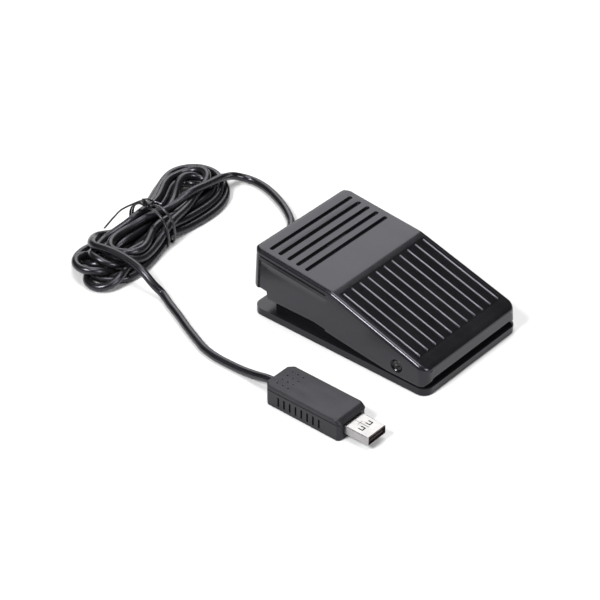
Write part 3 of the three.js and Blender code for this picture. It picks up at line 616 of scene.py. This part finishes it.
COVER_HALF_WIDTH = 33.8
COVER_FRONT = -50.2
COVER_REAR = 51.6
COVER_CORNER = 4.4
COVER_WALL = 2
EDGE_RADIUS = 1.8             # the roof's rounded edge
INNER_EDGE = 0.6              # and that of the hollow under it
EDGE_STEPS = 8
FOOT_DRAWN_IN = 0.12
KINK_Y = 5.0
KINK_Z = 30.9
HEEL_SLOPE = 0.103
TOE_SLOPE = 0.304
GROOVE_YS = (22.9, 28.15, 33.4, 38.65, 43.9)
GROOVE_END = 27.65            # centre of a groove's rounded end
GROOVE_HALF = 0.95
GROOVE_DEPTH = 1.5
RIB_GAP = 5.7
RIB_XS = [(i - 5) * RIB_GAP for i in range(11)]
RIB_HALF = 0.52
RIB_HEIGHT = 0.8
RIB_FRONT = -42.8
RIB_REAR = 1.0
FIELD_FRONT = -43.2           # the textured field around the ribs
FIELD_REAR = 2.4
FIELD_HALF = 30.3
HINGE_Y = -33.7
HINGE_Z = 9.8
SPRING_Y = 31
CORD_ARCH_X = 17              # the arch that the cord leaves through
CORD_ARCH_RADIUS = 4.5
PANEL_FRONT = 7.5             # the shallow panel in each side wall under the heel
PANEL_REAR = 47.8
PANEL_BELOW = 5.1             # its upper edge, measured down from the roof
PANEL_DEPTH = 0.8
TRIM_BELOW = 2.9              # the fine groove between the panel and the roof's rounded edge
TRIM_HALF = 0.4
TRIM_DEPTH = 0.6

# The lower edge of the side walls, from toe to heel: (y, z).
SKIRT = [
    (-50.2, 7.0), (-49.4, 6.0), (-48.4, 5.1), (-46, 4.7), (-29, 4.7), (-15.7, 6.3), (1.8, 8.5), (15, 10.4),
    (42.4, 10.2), (43.1, 13.9), (48.7, 14.6), (51.6, 15.2),
]
# Heights up a wall that its shape needs, measured down from the roof's rounded edge.
WALL_DROPS = (3.7, 3.55, 3.4, 3.25, 2.1, 1.55, 1.4, 1.25, 0.95, 0.8, 0.65, 0)


def roof(y):
    """Height of the roof: the heel and toe planes, with their meeting edge barely rounded."""
    heel = KINK_Z + HEEL_SLOPE * (y - KINK_Y)
    toe = KINK_Z + TOE_SLOPE * (y - KINK_Y)
    return (heel + toe - math.sqrt((heel - toe) ** 2 + 0.01)) / 2


def skirt(y):
    """Height of the side walls' lower edge."""
    return float(np.interp(y, [p[0] for p in SKIRT], [p[1] for p in SKIRT]))


def ramp_in(distance, soft):
    """0 outside, 1 inside, with a soft step that begins at distance 0."""
    return smoothstep(distance / soft)


def groove_depth(x, y):
    """How deep the heel's grooves are at a place on the roof."""
    depth = 0.0
    for centre in GROOVE_YS:
        off = math.hypot(max(abs(x) - GROOVE_END, 0), y - centre)
        depth = max(depth, GROOVE_DEPTH * ramp_in(GROOVE_HALF + 0.12 - off, 0.26))
    return depth


def nearest_rib(x):
    return min(abs(x - rib) for rib in RIB_XS)


def rib_height(x, y):
    """How high the toe's ribs stand at a place on the roof."""
    across = math.sqrt(max(1 - (nearest_rib(x) / RIB_HALF) ** 2, 0))
    along = ramp_in(min(y - RIB_FRONT, RIB_REAR - y) + 0.3, 0.6)
    return RIB_HEIGHT * across * along


def panel_depth(y, below):
    """How far a side wall is sunk, at a place that far below the roof."""
    along = ramp_in(min(y - PANEL_FRONT, PANEL_REAR - y), 0.35)
    panel = PANEL_DEPTH * ramp_in(below - PANEL_BELOW, 0.3)
    trim = TRIM_DEPTH * ramp_in(TRIM_HALF - abs(below - TRIM_BELOW), 0.25)
    return along * (panel + trim)


def both_ways(centre, offsets):
    """Places on both sides of a centre."""
    return {round(centre + side * d, 3) for d in offsets for side in (-1, 1)}


def cover_lines():
    """The lengthwise lines over the roof, as x positions, denser at ribs, groove ends and the cord arch."""
    xs = {0.0}
    for rib in RIB_XS:
        xs |= both_ways(rib, (0, 0.22, 0.4, 0.48, RIB_HALF, 0.6))
        xs.add(round(rib + RIB_GAP / 2, 3))
    xs |= both_ways(0, (FIELD_HALF - 0.1, FIELD_HALF + 0.2, 27.9, 28.4, 28.52, 28.62, 28.72, 29.3))
    xs |= both_ways(CORD_ARCH_X, (0, 1.7, 3.2, 4.0, 4.4, 4.6))
    return sorted(xs)


def cover_rows():
    """The crosswise rows, as y positions from toe to heel."""
    ys = set(np.linspace(COVER_FRONT + 5, COVER_REAR - 5, 41).round(3))
    ends = (0, 0.06, 0.22, 0.48, 0.85, 1.3, 1.8, 2.4, 3.1, 3.8, 4.4, 5.0)
    ys.update(COVER_FRONT + e for e in ends)
    ys.update(COVER_REAR - e for e in ends)
    for centre in GROOVE_YS:
        ys |= both_ways(centre, (0, 0.4, 0.81, 0.88, 0.98, 1.07))
    ys.update((FIELD_FRONT - 0.2, FIELD_FRONT + 0.1, FIELD_REAR - 0.1, FIELD_REAR + 0.2))
    ys |= both_ways(RIB_FRONT, (0, 0.3)) | both_ways(RIB_REAR, (0, 0.3))
    ys.update((PANEL_FRONT, PANEL_FRONT + 0.35, PANEL_REAR - 0.35, PANEL_REAR))
    ys |= both_ways(KINK_Y, (0, 0.15, 0.5))
    # The rows at the skirt's step.
    ys.update((42.4, 42.7, 43.1))
    return sorted(ys)


def wall_levels(low, high):
    """Heights up a wall: a small rounded foot, even steps, then the heights that the trim and panel need."""
    squeeze = min(1.0, (high - low - 1.2) / WALL_DROPS[0])
    fixed = [high - drop * squeeze for drop in WALL_DROPS]
    foot = [low, low + 0.25, low + 0.8]
    steps = list(np.linspace(foot[-1], fixed[0], 6)[1:-1])
    return foot + steps + fixed


def row_place(y, front, rear):
    """Where a row of the outer skin lies in a skin that runs from front to rear."""
    if y > KINK_Y:
        return KINK_Y + (y - KINK_Y) * ((rear - KINK_Y) / (COVER_REAR - KINK_Y))
    return KINK_Y + (y - KINK_Y) * ((KINK_Y - front) / (KINK_Y - COVER_FRONT))


def outline_half(drawn_in, half, corner, from_end):
    """Half width of the rounded outline, drawn in by a distance, at a row that far from its end."""
    reach = corner - from_end
    if reach <= 0:
        return half - drawn_in
    return half - corner + math.sqrt(max((corner - drawn_in) ** 2 - reach ** 2, 0))


def row_side(y, low, inset, radius, from_end):
    """One side of a row, as (half width, z): up the wall and round the roof's edge."""
    shape = (COVER_HALF_WIDTH - inset, COVER_CORNER - inset, from_end)
    high = roof(y) - inset - radius
    side = [(outline_half(0, *shape), z) for z in wall_levels(low, high)]
    steepest = math.pi / 2 if from_end >= radius else math.acos(max(0.0, 1 - from_end / radius))
    for k in range(1, EDGE_STEPS + 1):
        angle = steepest * k / EDGE_STEPS
        side.append((outline_half(radius * (1 - math.cos(angle)), *shape), high + radius * math.sin(angle)))
    return side


def cover_row(y, low, inset, from_end, detail):
    """A crosswise row of points from one foot over the roof to the other, and where its roof lies in it."""
    radius = EDGE_RADIUS if detail else INNER_EDGE
    side = row_side(y, low, inset, radius, from_end)
    top_half, top = side[-1]
    full = COVER_HALF_WIDTH - inset - radius
    side[0] = (side[0][0] - FOOT_DRAWN_IN, side[0][1])
    if detail:
        for n in range(len(side) - EDGE_STEPS):
            x, z = side[n]
            side[n] = (x - panel_depth(y, roof(y) - z), z)
    row = [(-x, y, z) for x, z in side]
    lines = cover_lines()
    for x in lines:
        shape = rib_height(x, y) - groove_depth(x, y) if detail else 0.0
        row.append((x * min(top_half, full) / full, y, top + shape))
    row += [(x, y, z) for x, z in reversed(side)]
    return row, (len(side) - 1, len(side) + len(lines), top)


def cover_skin(inset, detail):
    """Points and faces of the outer skin, or of the plain inner one when inset, row by row."""
    front, rear = COVER_FRONT + inset, COVER_REAR - inset
    points = []
    faces = []
    roofs = []
    rows = cover_rows()
    for outer_y in rows:
        y = row_place(outer_y, front, rear)
        row, roof_span = cover_row(y, skirt(outer_y), inset, min(y - front, rear - y), detail)
        points += row
        roofs.append(roof_span)
    width = len(points) // len(rows)
    for i in range(len(rows) - 1):
        for k in range(width - 1):
            a, b = i * width + k, (i + 1) * width + k
            faces.append([a, a + 1, b + 1, b])
    for i, end in ((0, "toe"), (len(rows) - 1, "heel")):
        row = points[i * width:(i + 1) * width]
        cap_points, cap_faces = end_wall(row, roofs[i], len(points), end, i * width)
        points += cap_points
        faces += cap_faces
    return points, faces


def end_wall(row, span, offset, end, row_start):
    """The wall at one end, hung from the roof's first or last row and joined to both side walls."""
    first, last, top = span
    low_side = row[0][2]
    count = len(wall_levels(low_side, top)) - 1
    columns = [[row_start + n for n in range(count)] + [row_start + first]]
    points = []
    for k in range(first + 1, last):
        x, y, _ = row[k]
        if end == "toe":
            low = low_side + 0.9 * smoothstep((COVER_HALF_WIDTH - COVER_CORNER - abs(x)) / 2)
        else:
            low = low_side + math.sqrt(max(CORD_ARCH_RADIUS ** 2 - (x - CORD_ARCH_X) ** 2, 0))
        column = [offset + len(points) + n for n in range(count)] + [row_start + k]
        points += [(x, y, level) for level in wall_levels(low, top)[:-1]]
        columns.append(column)
    right_foot = row_start + len(row) - 1
    columns.append([right_foot - n for n in range(count)] + [row_start + last])
    faces = []
    for a, b in zip(columns, columns[1:]):
        for k in range(count):
            faces.append([a[k], b[k], b[k + 1], a[k + 1]])
    return points, faces


def draft(point):
    """Moulding draft: the walls lean in a little towards the roof."""
    x, y, z = point
    lean = (z - 5) / 28
    x -= math.copysign(0.8 * lean * smoothstep((abs(x) - 29.5) / 3), x)
    y -= 0.6 * smoothstep((z - 15) / 21) * smoothstep((y - 44) / 4)
    y += 0.5 * smoothstep((z - 5) / 9) * smoothstep((-44 - y) / 4)
    return (x, y, z)


def cover_inside(material):
    """Under the roof: the post that presses the switch, the spring's seat and stud, and three cross ribs."""
    pieces = [
        rounded_block("actuator", (-4, 16, 26.9), (4, 19.5, 30.9), 0.3, material),
        turned("seat", [(0, 25.5), (6.6, 25.5), (7, 25.9), (7, 32), (0, 32)], (0, SPRING_Y), material),
        turned("stud", [(0, 22), (2.0, 22), (2.6, 22.7), (2.6, 26), (0, 26)], (0, SPRING_Y), material),
    ]
    for y in (-38, -20, -4):
        low, high = (-31, y - 0.7, roof(y) - 5), (31, y + 0.7, roof(y) - 1.2)
        pieces.append(rounded_block("cross_rib", low, high, 0.2, material))
    return pieces


def rounded_block(name, low, high, radius, material):
    """A block whose edges are rounded."""
    bm = bmesh.new()
    bmesh.ops.create_cube(bm, size=1)
    for v in bm.verts:
        v.co = Vector([(a + b) / 2 + c * (b - a) for a, b, c in zip(low, high, v.co)]) * MM
    bmesh.ops.bevel(bm, geom=bm.edges[:], offset=radius * MM, segments=3, profile=0.5, affect="EDGES")
    mesh = bpy.data.meshes.new(name)
    bm.to_mesh(mesh)
    bm.free()
    obj = new_object(name, mesh, material)
    shade(obj)
    return obj


def turned(name, profile, centre, material, count=40, axis="z"):
    """A profile of (radius, height) turned about a line along z, or along x or y, in millimetres."""
    order = {"z": (0, 1, 2), "y": (0, 2, 1), "x": (2, 0, 1)}[axis]
    points = []
    for k in range(count):
        angle = 2 * math.pi * k / count
        for radius, height in profile:
            place = (centre[0] + radius * math.cos(angle), centre[1] + radius * math.sin(angle), height)
            points.append(tuple(place[n] for n in order))
    n = len(profile)
    faces = []
    for k in range(count):
        nxt = (k + 1) % count
        for i in range(n - 1):
            faces.append([k * n + i, nxt * n + i, nxt * n + i + 1, k * n + i + 1])
    obj = mesh_object(name, points, faces, material)
    shade(obj, 40)
    return obj


def hinge_bores():
    """Cutters for the screw's recess and hole in each side wall."""
    tools = []
    for side in (-1, 1):
        recess = [(0, 31.8), (2.9, 31.8), (2.9, 32.75), (3.25, 33.1), (3.25, 36), (0, 36)]
        bore = [(0, 28), (1.8, 28), (1.8, 32), (0, 32)]
        for shape in (recess, bore):
            profile = [(r, side * x) for r, x in shape]
            tools.append(turned("tool", profile, (HINGE_Y, HINGE_Z), MATERIALS["cover"], 48, "x"))
    return tools


def build_cover():
    """Both skins, joined along their open lower rim, and the posts inside."""
    outer, outer_faces = cover_skin(0, True)
    inner, inner_faces = cover_skin(COVER_WALL, False)
    count = len(outer)
    points = [draft(p) for p in outer] + inner
    faces = outer_faces + [[k + count for k in reversed(face)] for face in inner_faces]
    uses = {}
    for face in outer_faces:
        for a, b in zip(face, face[1:] + face[:1]):
            edge = (min(a, b), max(a, b))
            uses[edge] = uses.get(edge, 0) + 1
    rim = [[a, b, b + count, a + count] for (a, b), used in uses.items() if used == 1]
    cover = mesh_object("pedal_cover_shell", points, faces + rim, MATERIALS["cover"])
    cut_with(cover, hinge_bores())
    texture_field(cover)
    shade(cover, 32)
    inside = join(cover_inside(MATERIALS["inner"]), "pedal_cover_posts")
    shade(inside)
    for piece in (cover, inside):
        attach(piece, "pedal")
    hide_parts("pedal_cover")


def texture_field(cover):
    """The field between the toe ribs has a coarser, duller grain than the ribs and the rest of the cover,
    and a darker colour that is partly painted shade of the toe's slope.
    """
    cover.data.materials.append(MATERIALS["field"])
    cover.data.materials.append(MATERIALS["rib"])
    for polygon in cover.data.polygons:
        x, y, z = (c / MM for c in polygon.center)
        on_rib = nearest_rib(x) < RIB_HALF + 0.1 and RIB_FRONT < y < RIB_REAR
        inside = FIELD_FRONT < y < FIELD_REAR and abs(x) < FIELD_HALF and z > roof(y) - 1
        if inside:
            polygon.material_index = 2 if on_rib else 1


# ---------- hard parts

def softened(node, width, material, body):
    """A copy of a CAD node with rounded edges, which stands for the node."""
    obj = new_object(node + "_finished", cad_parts[node].data.copy(), material)
    bm = bmesh.new()
    bm.from_mesh(obj.data)
    bmesh.ops.remove_doubles(bm, verts=bm.verts, dist=WELD)
    bmesh.ops.dissolve_limit(bm, angle_limit=math.radians(1.5), verts=bm.verts, edges=bm.edges)
    bmesh.ops.recalc_face_normals(bm, faces=bm.faces)
    bm.to_mesh(obj.data)
    bm.free()
    for polygon in obj.data.polygons:
        polygon.material_index = 0
    change = obj.modifiers.new("round", "BEVEL")
    change.width = width * MM
    change.segments = 2
    change.limit_method = "ANGLE"
    change.angle_limit = math.radians(40)
    change.use_clamp_overlap = True
    apply_modifiers(obj)
    crisp(obj, 40)
    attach(obj, body)
    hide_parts(node)


HARD_PARTS = [
    # CAD nodes, edge rounding, material, slot, body
    (["base_plate"], 0.45, "base", "abs_black", "base"),
    ([f"rubber_foot_{k}" for k in range(1, 5)], 0.4, "rubber", "rubber", "base"),
    (["hinge_screw_left", "hinge_screw_right"], 0.2, "black_steel", "steel", "base"),
    (["microswitch_case"], 0.25, "switch", "switch_plastic", "base"),
    (["microswitch_plunger"], 0.15, "button", "switch_button", "switch_plunger"),
    (["microswitch_lever"], 0.08, "spring", "spring_steel", "switch_lever"),
    (["terminal_common", "terminal_closed", "terminal_open"], 0.08, "brass", "brass", "base"),
    (["switch_screw_1", "switch_screw_2"], 0.15, "steel", "steel", "base"),
    (["cord_clamp"], 0.3, "inner", "abs_inner", "base"),
    (["clamp_screw_1", "clamp_screw_2"], 0.15, "steel", "steel", "base"),
    (["controller_board"], 0.1, "board", "board", "base"),
    (["controller_chip"], 0.15, "inner", "abs_inner", "base"),
    (["crystal"], 0.3, "steel", "steel", "base"),
    (["usb_tongue"], 0.1, "port", "port_black", "base"),
    ([f"usb_contact_{k}" for k in range(1, 5)], 0.06, "gold", "gold", "base"),
]


def build_hard_parts():
    for nodes, width, finish, slot, body in HARD_PARTS:
        for node in nodes:
            softened(node, width, MATERIALS[finish], body)


def finish_cad_nodes():
    """Carried-over CAD nodes keep their shape and take a better material."""
    for node, finish in (("inner_cord_end", "jacket"), ("lead_common", "red"), ("lead_open", "pale"),
                         ("plug_grommet", "relief")):
        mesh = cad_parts[node].data
        for k in range(len(mesh.materials)):
            mesh.materials[k] = MATERIALS[finish]
        if not mesh.materials:
            mesh.materials.append(MATERIALS[finish])
        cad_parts[node].data.shade_smooth()


SPRING_LOW, SPRING_HIGH = 4.3, 25.2
SPRING_RADIUS = 4.9
SPRING_TURNS = 8
SPRING_WIRE = 0.55


def build_spring():
    """The return spring, its turns closer at both ends."""
    path = []
    low, high = SPRING_LOW + SPRING_WIRE, SPRING_HIGH - SPRING_WIRE
    steps = SPRING_TURNS * 24
    for k in range(steps + 1):
        t = k / steps
        eased = t - 0.055 * math.sin(2 * math.pi * t)
        angle = 2 * math.pi * SPRING_TURNS * t
        x, y = SPRING_RADIUS * math.cos(angle), SPRING_Y + SPRING_RADIUS * math.sin(angle)
        path.append([x, y, low + (high - low) * eased])
    spring = sweep("return_spring_coil", path, circle(SPRING_WIRE, 12), MATERIALS["spring"])
    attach(spring, "base")
    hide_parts("return_spring")
    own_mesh(spring)


def build_relief():
    """The rubber strain relief: a collar in the wall, then a tail of ribs that taper onto the cord."""
    profile = [(0, 38.7), (3.6, 38.7), (4, 39.1), (4, 39.5), (3.7, 39.9), (2.9, 39.9), (2.9, 42.3),
               (3.7, 42.3), (4, 42.6), (4, 43.6), (3.7, 43.9)]
    exit_x, exit_y, exit_z = CORD_EXIT
    y = 44.2
    radius = 3.45
    while y < exit_y - 1.8:
        neck, shoulder = radius - 0.5, radius - 0.12
        profile += [(neck, y), (neck, y + 0.35), (shoulder, y + 0.5), (radius, y + 0.75),
                    (shoulder, y + 1.25), (neck, y + 1.4)]
        y += 1.75
        radius -= 0.075
    profile += [(2.45, exit_y - 0.5), (2.3, exit_y - 0.1), (CORD_RADIUS, exit_y)]
    relief = turned("strain_relief_boot", profile, (exit_x, exit_z), MATERIALS["relief"], 40, "y")
    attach(relief, "base")
    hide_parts("strain_relief")
    return relief


# ---------- the USB plug

PLUG_X = -72.5
PLUG_REAR = 2.0
PLUG_FRONT = -41.0
PLUG_HALF = 9.2
PLUG_TOP = 10.7
PLUG_SPLIT = 8.4
PLUG_WALL = 1.5
USB_TIP, USB_BACK = -54.4, -34.5
USB_HALF_WIDTH = 6
USB_HALF_HEIGHT = 2.25
USB_Z = 5.25


def housing_outline(inset, front):
    """The housing seen from above: chamfered corners at the cord end, small ones at the front."""
    half = PLUG_HALF - inset
    rear = PLUG_REAR - inset
    front += inset
    return [(-half + 2.4, rear), (-half, rear - 2.4), (-half, front + 1.2), (-half + 1.2, front),
            (half - 1.2, front), (half, front + 1.2), (half, rear - 2.4), (half - 2.4, rear)]


def housing_prism(name, inset, low, high, round_low=0, round_high=0, front=PLUG_FRONT, slant=0.0):
    """A prism on the housing outline; its front may slant back towards the top."""
    bm = bmesh.new()
    rings = []
    for z, ring_front in ((low, front), (high, front + slant)):
        rings.append([bm.verts.new(mm(PLUG_X + x, y, z)) for x, y in housing_outline(inset, ring_front)])
    bottom, top = rings
    bm.faces.new(list(reversed(bottom)))
    bm.faces.new(top)
    for k in range(len(bottom)):
        nxt = (k + 1) % len(bottom)
        bm.faces.new([bottom[k], bottom[nxt], top[nxt], top[k]])
    bmesh.ops.recalc_face_normals(bm, faces=bm.faces)
    upright = [e for e in bm.edges if abs(e.verts[0].co.z - e.verts[1].co.z) > 0.5 * MM]
    bmesh.ops.bevel(bm, geom=upright, offset=0.5 * MM, segments=3, profile=0.5, affect="EDGES")
    for level, radius in ((low, round_low), (high, round_high)):
        if radius > 0:
            edges = [e for e in bm.edges if all(abs(v.co.z - level * MM) < WELD for v in e.verts)]
            bmesh.ops.bevel(bm, geom=edges, offset=radius * MM, segments=4, profile=0.5, affect="EDGES")
    mesh = bpy.data.meshes.new(name)
    bm.to_mesh(mesh)
    bm.free()
    return new_object(name, mesh, MATERIALS["plug"])


def usb_opening():
    """The cutter for the metal shell's opening in the front of the housing."""
    half, tall = USB_HALF_WIDTH + 0.2, USB_HALF_HEIGHT + 0.2
    low = (PLUG_X - half, PLUG_FRONT - 3, USB_Z - tall)
    high = (PLUG_X + half, PLUG_FRONT + 3, USB_Z + tall)
    return rounded_block("tool", low, high, 0.3, MATERIALS["plug"])


def grip_slots():
    """Cutters for eight upright slots in each side."""
    slots = []
    for x in (PLUG_X - PLUG_HALF, PLUG_X + PLUG_HALF):
        for k in range(8):
            y = PLUG_REAR - 8.6 - 3.3 * k
            low, high = (x - 1, y - 0.5, 1.9), (x + 1, y + 0.5, 6.7)
            slots.append(rounded_block("tool", low, high, 0.2, MATERIALS["plug"]))
    return join(slots, "tools")


def build_lower_housing():
    lower = housing_prism("plug_housing_lower", 0, 0, PLUG_SPLIT - 0.2, 0.55, 0.12)
    hollow = housing_prism("tool", PLUG_WALL, PLUG_WALL, PLUG_SPLIT + 1)
    entry_profile = [(0, -1.5), (2.9, -1.5), (2.9, 4), (0, 4)]
    entry = turned("tool", entry_profile, (PLUG_X, USB_Z), MATERIALS["plug"], 32, "y")
    cut_with(lower, [hollow, usb_opening(), entry, grip_slots()])
    crisp(lower)
    return lower


def top_dots():
    """Cutters for the three rows of four dimples near the cord end."""
    profile = [(0, PLUG_TOP - 0.45), (0.34, PLUG_TOP - 0.4), (0.42, PLUG_TOP + 1), (0, PLUG_TOP + 1)]
    dots = []
    for row in range(3):
        for k in range(4):
            place = (PLUG_X - 5.2 + 3.4 * k, PLUG_REAR - 4.6 - 3.1 * row)
            dots.append(turned("tool", profile, place, MATERIALS["plug"], 16))
    return join(dots, "tools")


def build_upper_housing():
    """The upper shell, whose front hangs over and slants back, and the rim that fits in the lower shell."""
    upper = housing_prism("plug_housing_upper", 0, PLUG_SPLIT + 0.2, PLUG_TOP, 0.12, 0.7,
                          front=PLUG_FRONT - 0.4, slant=2.2)
    rim = housing_prism("plug_housing_rim", 0.35, PLUG_SPLIT - 0.6, PLUG_SPLIT + 1)
    hollow, rim_hollow = (housing_prism("tool", PLUG_WALL, PLUG_SPLIT - 1, PLUG_TOP - 1.2) for _ in range(2))
    cut_with(rim, [rim_hollow, usb_opening()])
    cut_with(upper, [hollow, top_dots()])
    crisp(rim)
    crisp(upper)
    return upper, rim


def shell_cut(x0, y0, x1, y1, depth, radius):
    """A cutter for an opening or groove in the top of the metal shell; x is from the shell's middle."""
    top = USB_Z + USB_HALF_HEIGHT
    low, high = (PLUG_X + x0, USB_TIP + y0, top - depth), (PLUG_X + x1, USB_TIP + y1, top + 1)
    return rounded_block("tool", low, high, radius, MATERIALS["plated"])


def build_usb_shell():
    """The folded metal shell with its two latch springs and the seam along its top."""
    half, tall, sheet = USB_HALF_WIDTH, USB_HALF_HEIGHT, 0.35
    steel = MATERIALS["plated"]
    shell = rounded_block("usb_shell_plated", (PLUG_X - half, USB_TIP, USB_Z - tall),
                          (PLUG_X + half, USB_BACK, USB_Z + tall), 0.45, steel)
    hollow = rounded_block("tool", (PLUG_X - half + sheet, USB_TIP - 1, USB_Z - tall + sheet),
                           (PLUG_X + half - sheet, USB_BACK + 1, USB_Z + tall - sheet), 0.2, steel)
    slit, near, far = 0.6, 5.0, 7.6
    cuts = []
    for left, right in ((-3.75, -1.25), (1.25, 3.75)):
        cuts.append(shell_cut(left, near, left + slit, far, 1, 0.05))
        cuts.append(shell_cut(right - slit, near, right, far, 1, 0.05))
        cuts.append(shell_cut(left, near, right, near + slit, 1, 0.05))
    cuts.append(shell_cut(-0.14, 4.5, 0.14, 14, 0.18, 0.03))
    cuts.append(shell_cut(-1.6, 9.2, 1.6, 9.48, 0.18, 0.03))
    cut_with(shell, [hollow] + cuts)
    crisp(shell)
    return shell


def build_plug():
    lower = build_lower_housing()
    upper, rim = build_upper_housing()
    shell = build_usb_shell()
    pieces = [lower, upper, rim, shell]
    for piece, slot in zip(pieces, ["plug_plastic"] * 3 + ["steel"]):
        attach(piece, "base")
    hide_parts("plug_lower_shell")
    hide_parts("plug_upper_shell")
    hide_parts("usb_shell")
    return pieces


# ---------- the wire tie

TIE_MIDDLE_Z = 6.8
# A flat plastic ribbon with a round wire along its middle: (across, thick) pairs.
TIE_SECTION = [
    (-0.8, -0.14), (-0.36, -0.2), (-0.2, -0.4), (0.2, -0.4), (0.36, -0.2), (0.8, -0.14),
    (0.8, 0.14), (0.36, 0.2), (0.2, 0.4), (-0.2, 0.4), (-0.36, 0.2), (-0.8, 0.14),
]


def tie_wrap(local, begin, u_far, u_near, lift):
    """A whole turn laid on the strands it crosses; it runs from u_far at +v to u_near at -v."""
    points = []
    for angle in np.linspace(begin, begin + 2 * math.pi, 70):
        u = u_far + (u_near - u_far) * (1 - math.cos(angle)) / 2
        strands = local[np.abs(local[:, 0] - u) < 1.5][:, 1:3] - np.array([0, TIE_MIDDLE_Z])
        reach = 0.0
        for d in np.linspace(-0.5, 0.5, 11):
            direction = np.array([math.cos(angle + d), math.sin(angle + d)])
            reach = max(reach, (float((strands @ direction).max()) + CORD_RADIUS) * math.cos(d))
        r = reach + 0.3 + lift
        points.append([u, r * math.cos(angle), max(TIE_MIDDLE_Z + r * math.sin(angle), 0.62)])
    return points


def tie_piece(name, points, up):
    """A short length of the ribbon."""
    path = catmull(hank_to_model(points), 0.7)
    return sweep(name, path, TIE_SECTION, MATERIALS["tie"], up)


def wrap_piece(name, points):
    """A wrap of the ribbon, flat against the strands all the way round."""
    path = catmull(hank_to_model(points), 0.9)
    local = model_to_hank(path)
    tangents = np.gradient(path, axis=0)
    tangents /= np.linalg.norm(tangents, axis=1)[:, None]
    rim = []
    for centre, tangent, (_, v, z) in zip(path, tangents, local):
        away = np.array([*(ALONG_V * v), z - TIE_MIDDLE_Z])
        away -= tangent * (away @ tangent)
        away /= np.linalg.norm(away)
        side = np.cross(tangent, away)
        rim += [centre + side * a + away * b for a, b in TIE_SECTION]
    return mesh_object(name, rim, tube_faces(len(path), len(TIE_SECTION)), MATERIALS["tie"])


def build_tie(cord_points):
    """Two turns round the waist, a twisted knot on the far shoulder, and its loose ends."""
    local = model_to_hank(cord_points)
    turn = 2 * math.pi
    first = tie_wrap(local, 0.22 * turn, 3.6, -6.0, 0.0)
    second = tie_wrap(local, 0.2 * turn, 2.2, -1.0, 0.75)
    knot = np.array(first[0]) + np.array([0, 0.6, 0.8])
    # Where each loose end goes after the knot: its first step, then places in the hank's axes.
    ends = (
        ([-3, 0.8, 0.9], [[-6.5, 12.3, 14.0], [-12.5, 13.2, 12.4], [-20, 13.5, 10.2]]),
        ([1.5, -2.2, 0.5], [[6.2, 4.0, 14.6], [7.4, -1.0, 13.6]]),
    )
    pieces = [wrap_piece("wrap_a", first), wrap_piece("wrap_b", second)]
    for phase, (step, places) in zip((0, math.pi), ends):
        twist = []
        for t in np.linspace(0, 1, 41):
            angle = phase + 5.5 * math.pi * t
            centre = knot + t * np.array([-1.0, 1.6, 3.6])
            twist.append(centre + 0.55 * np.array([math.cos(angle), math.sin(angle), 0]))
        pieces.append(tie_piece("twist", twist, (0, 1, 0)))
        pieces.append(tie_piece("end", [twist[-1], twist[-1] + np.array(step)] + places, (0, 0, 1)))
    tie = join(pieces, "wire_tie")
    shade(tie, 50)
    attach(tie, "base")
    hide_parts("twist_tie")
    return tie


# ---------- putting it together

aim_camera()
build_studio()
build_floor()

build_cover()
build_hard_parts()
finish_cad_nodes()
build_spring()
relief = build_relief()
plug = build_plug()

CORD_PATH = cord_path()
cord = cord_curve(CORD_PATH, MATERIALS["jacket"])
tie = build_tie(CORD_PATH)
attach(cord, "base")
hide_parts("cord_to_hank", "cord_hank", "cord_to_plug")
